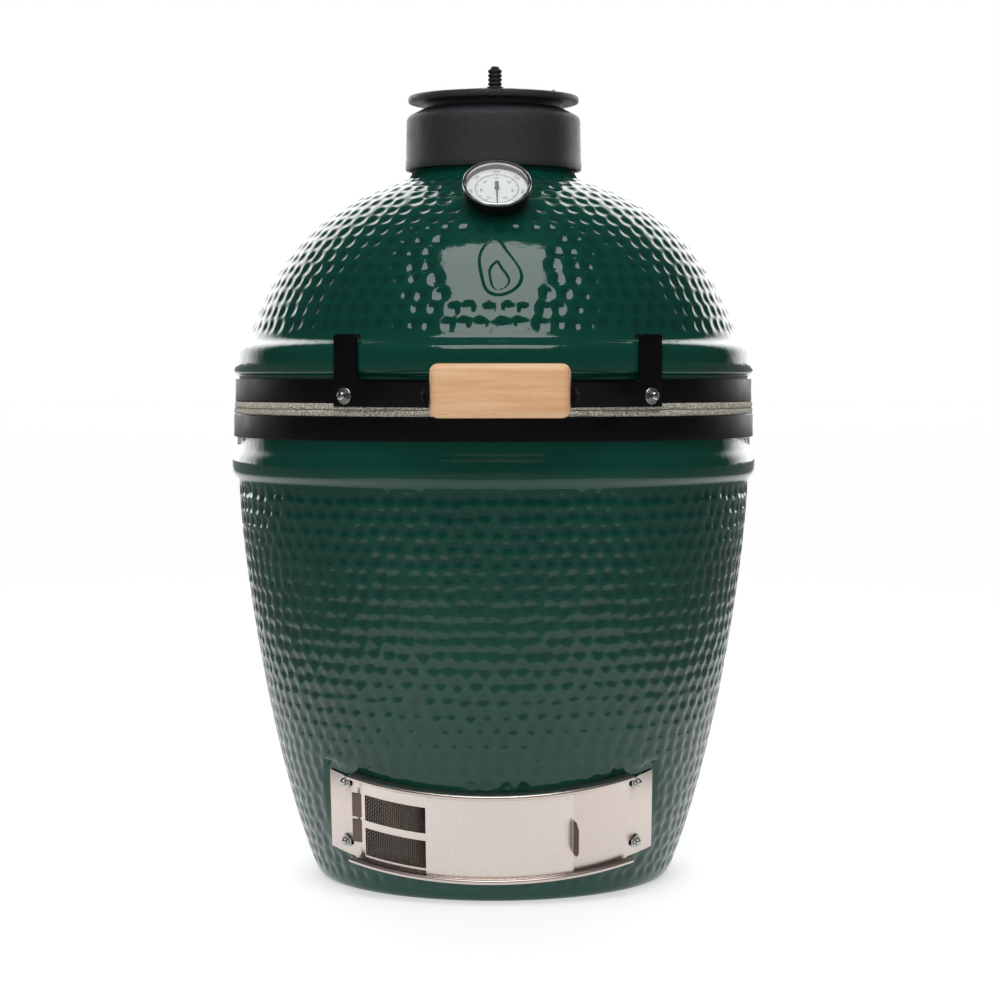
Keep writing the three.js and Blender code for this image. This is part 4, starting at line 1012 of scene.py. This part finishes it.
stainless_sheet = brushed("brushed_stainless_steel", "#d3c7c1", (14, 14, 1500), 0.3)
stainless_door = brushed("brushed_stainless_door", "#d9cec8", (1500, 1500, 14), 0.27)
# Painted shade on stainless: the folded tabs get a darker brown-grey steel for their shadow and dark reflections.
tab_painted_shade_steel = brushed("stainless_painted_tab_shade", "#6a5b55", (300, 300, 300), 0.38)


def shade_tabs_painted(obj, radius):
    """Gives the faces out past a radius about the doors' axis the steel of painted shade, and returns the piece."""
    obj.data.materials.clear()
    obj.data.materials.append(stainless_door)
    obj.data.materials.append(tab_painted_shade_steel)
    centres = np.empty(len(obj.data.polygons) * 3)
    obj.data.polygons.foreach_get("center", centres)
    out = in_draft(centres.reshape(-1, 3) / MM)[2] > radius
    obj.data.polygons.foreach_set("material_index", out.astype(int))
    return obj


def rolled_lip(name, height):
    """The round edge of a rail: a bead that follows the curve, with closed ends."""
    rim = [(224.8, height - 1.9), (226.6, height - 2.4)]
    rim += bend((226.6, height - 2.4), (229.4, height - 2.2), (229.4, height + 2.2), (226.6, height + 2.4), count=9)
    rim += [(224.8, height + 1.9)]
    return tilted(turned(name, rim, 77, sweep=77, start=-38.5 - 90))


backplate = sheet_metal("draft_backplate", "draft_plate")
piece(joined("draft_backplate", backplate, rolled_lip("upper_lip", 45.4), rolled_lip("lower_lip", -45.4)),
      stainless_sheet, "base", "draft_plate", slot="stainless_steel")
piece(shade_tabs_painted(sheet_metal("draft_screen_frame", "draft_screen"), 220.3), None, "draft_screen", "draft_screen",
      slot="stainless_steel")
piece(shade_tabs_painted(sheet_metal("draft_solid_door", "draft_door"), 227.3), None, "draft_door", "draft_door",
      slot="stainless_steel")

# Woven stainless mesh: 0.76 mm wires about 2 mm apart, each over one and under the next.
dark_wire = brushed("woven_wire", "#8f8580", (300, 300, 300), 0.35)
WIRE_PITCH = 2.1
MESH_R = 218.95


def woven(name, low, high, first=-34.2, last=-0.9):
    """A curved panel of woven wire, as thin four-sided wires that wave over and under."""
    span = math.radians(last - first) * MESH_R
    across = int(span / WIRE_PITCH)
    up = int((high - low) / WIRE_PITCH)
    vertices, faces = [], []

    def wire(path, section=0.38):
        """Adds one wire along a path of (angle, height, radius), with four sides."""
        start = len(vertices)
        for k, (angle, z, r) in enumerate(path):
            a, b = path[max(k - 1, 0)], path[min(k + 1, len(path) - 1)]
            upright = abs(b[1] - a[1]) > 0.3
            for du, dr in ((-section, 0), (0, section), (section, 0), (0, -section)):
                turn = angle + (du / MESH_R if upright else 0)
                height = z + (0 if upright else du)
                vertices.append(((r + dr) * math.sin(turn), -(r + dr) * math.cos(turn), height))
        rings = len(path)
        for k in range(rings - 1):
            for i in range(4):
                j = (i + 1) % 4
                faces.append((start + 4 * k + i, start + 4 * k + j, start + 4 * k + 4 + j, start + 4 * k + 4 + i))
        faces.append(tuple(start + i for i in (3, 2, 1, 0)))
        faces.append(tuple(start + 4 * (rings - 1) + i for i in (0, 1, 2, 3)))

    step_angle = math.radians(last - first) / across
    step_up = (high - low) / up
    for i in range(across + 1):
        angle = math.radians(first) + i * step_angle
        wire([(angle, low + j * step_up, MESH_R + (0.36 if (i + j) % 2 else -0.36)) for j in range(up + 1)])
    for j in range(up + 1):
        wire([(math.radians(first) + i * step_angle, low + j * step_up, MESH_R - (0.36 if (i + j) % 2 else -0.36))
              for i in range(across + 1)])
    mesh = bpy.data.meshes.new(name)
    mesh.from_pydata(vertices, [], faces)
    obj = bpy.data.objects.new(name, mesh)
    bpy.context.scene.collection.objects.link(obj)
    tilted(obj, MM)
    with editing(obj):
        bpy.ops.mesh.normals_make_consistent(inside=False)
    return obj


for name, low, high in (("lower", -38.2, -8.8), ("upper", -0.2, 27.2)):
    piece(woven(f"woven_mesh_{name}", low, high), dark_wire, "draft_screen", f"draft_mesh_{name}",
          slot="stainless_steel", smooth=60)

for name, angle, height in (("upper_left", -41.5, 34), ("upper_right", 41.5, 34), ("lower_left", -41.5, -31),
                            ("lower_right", 41.5, -31)):
    screw = hex_bolt(f"draft_plate_screw_{name}", 5, 2, 6.6, 2.5, 10, dome=True)
    out_from_axis(screw, angle, DRAFT_R + 1.6, height)
    placed(screw, (0, 0, DRAFT_AXIS_Z), (DRAFT_TILT, 0, DRAFT_TURN))
    piece(screw, zinc, "base", f"draft_screw_{name}", slot="zinc_plated_steel")
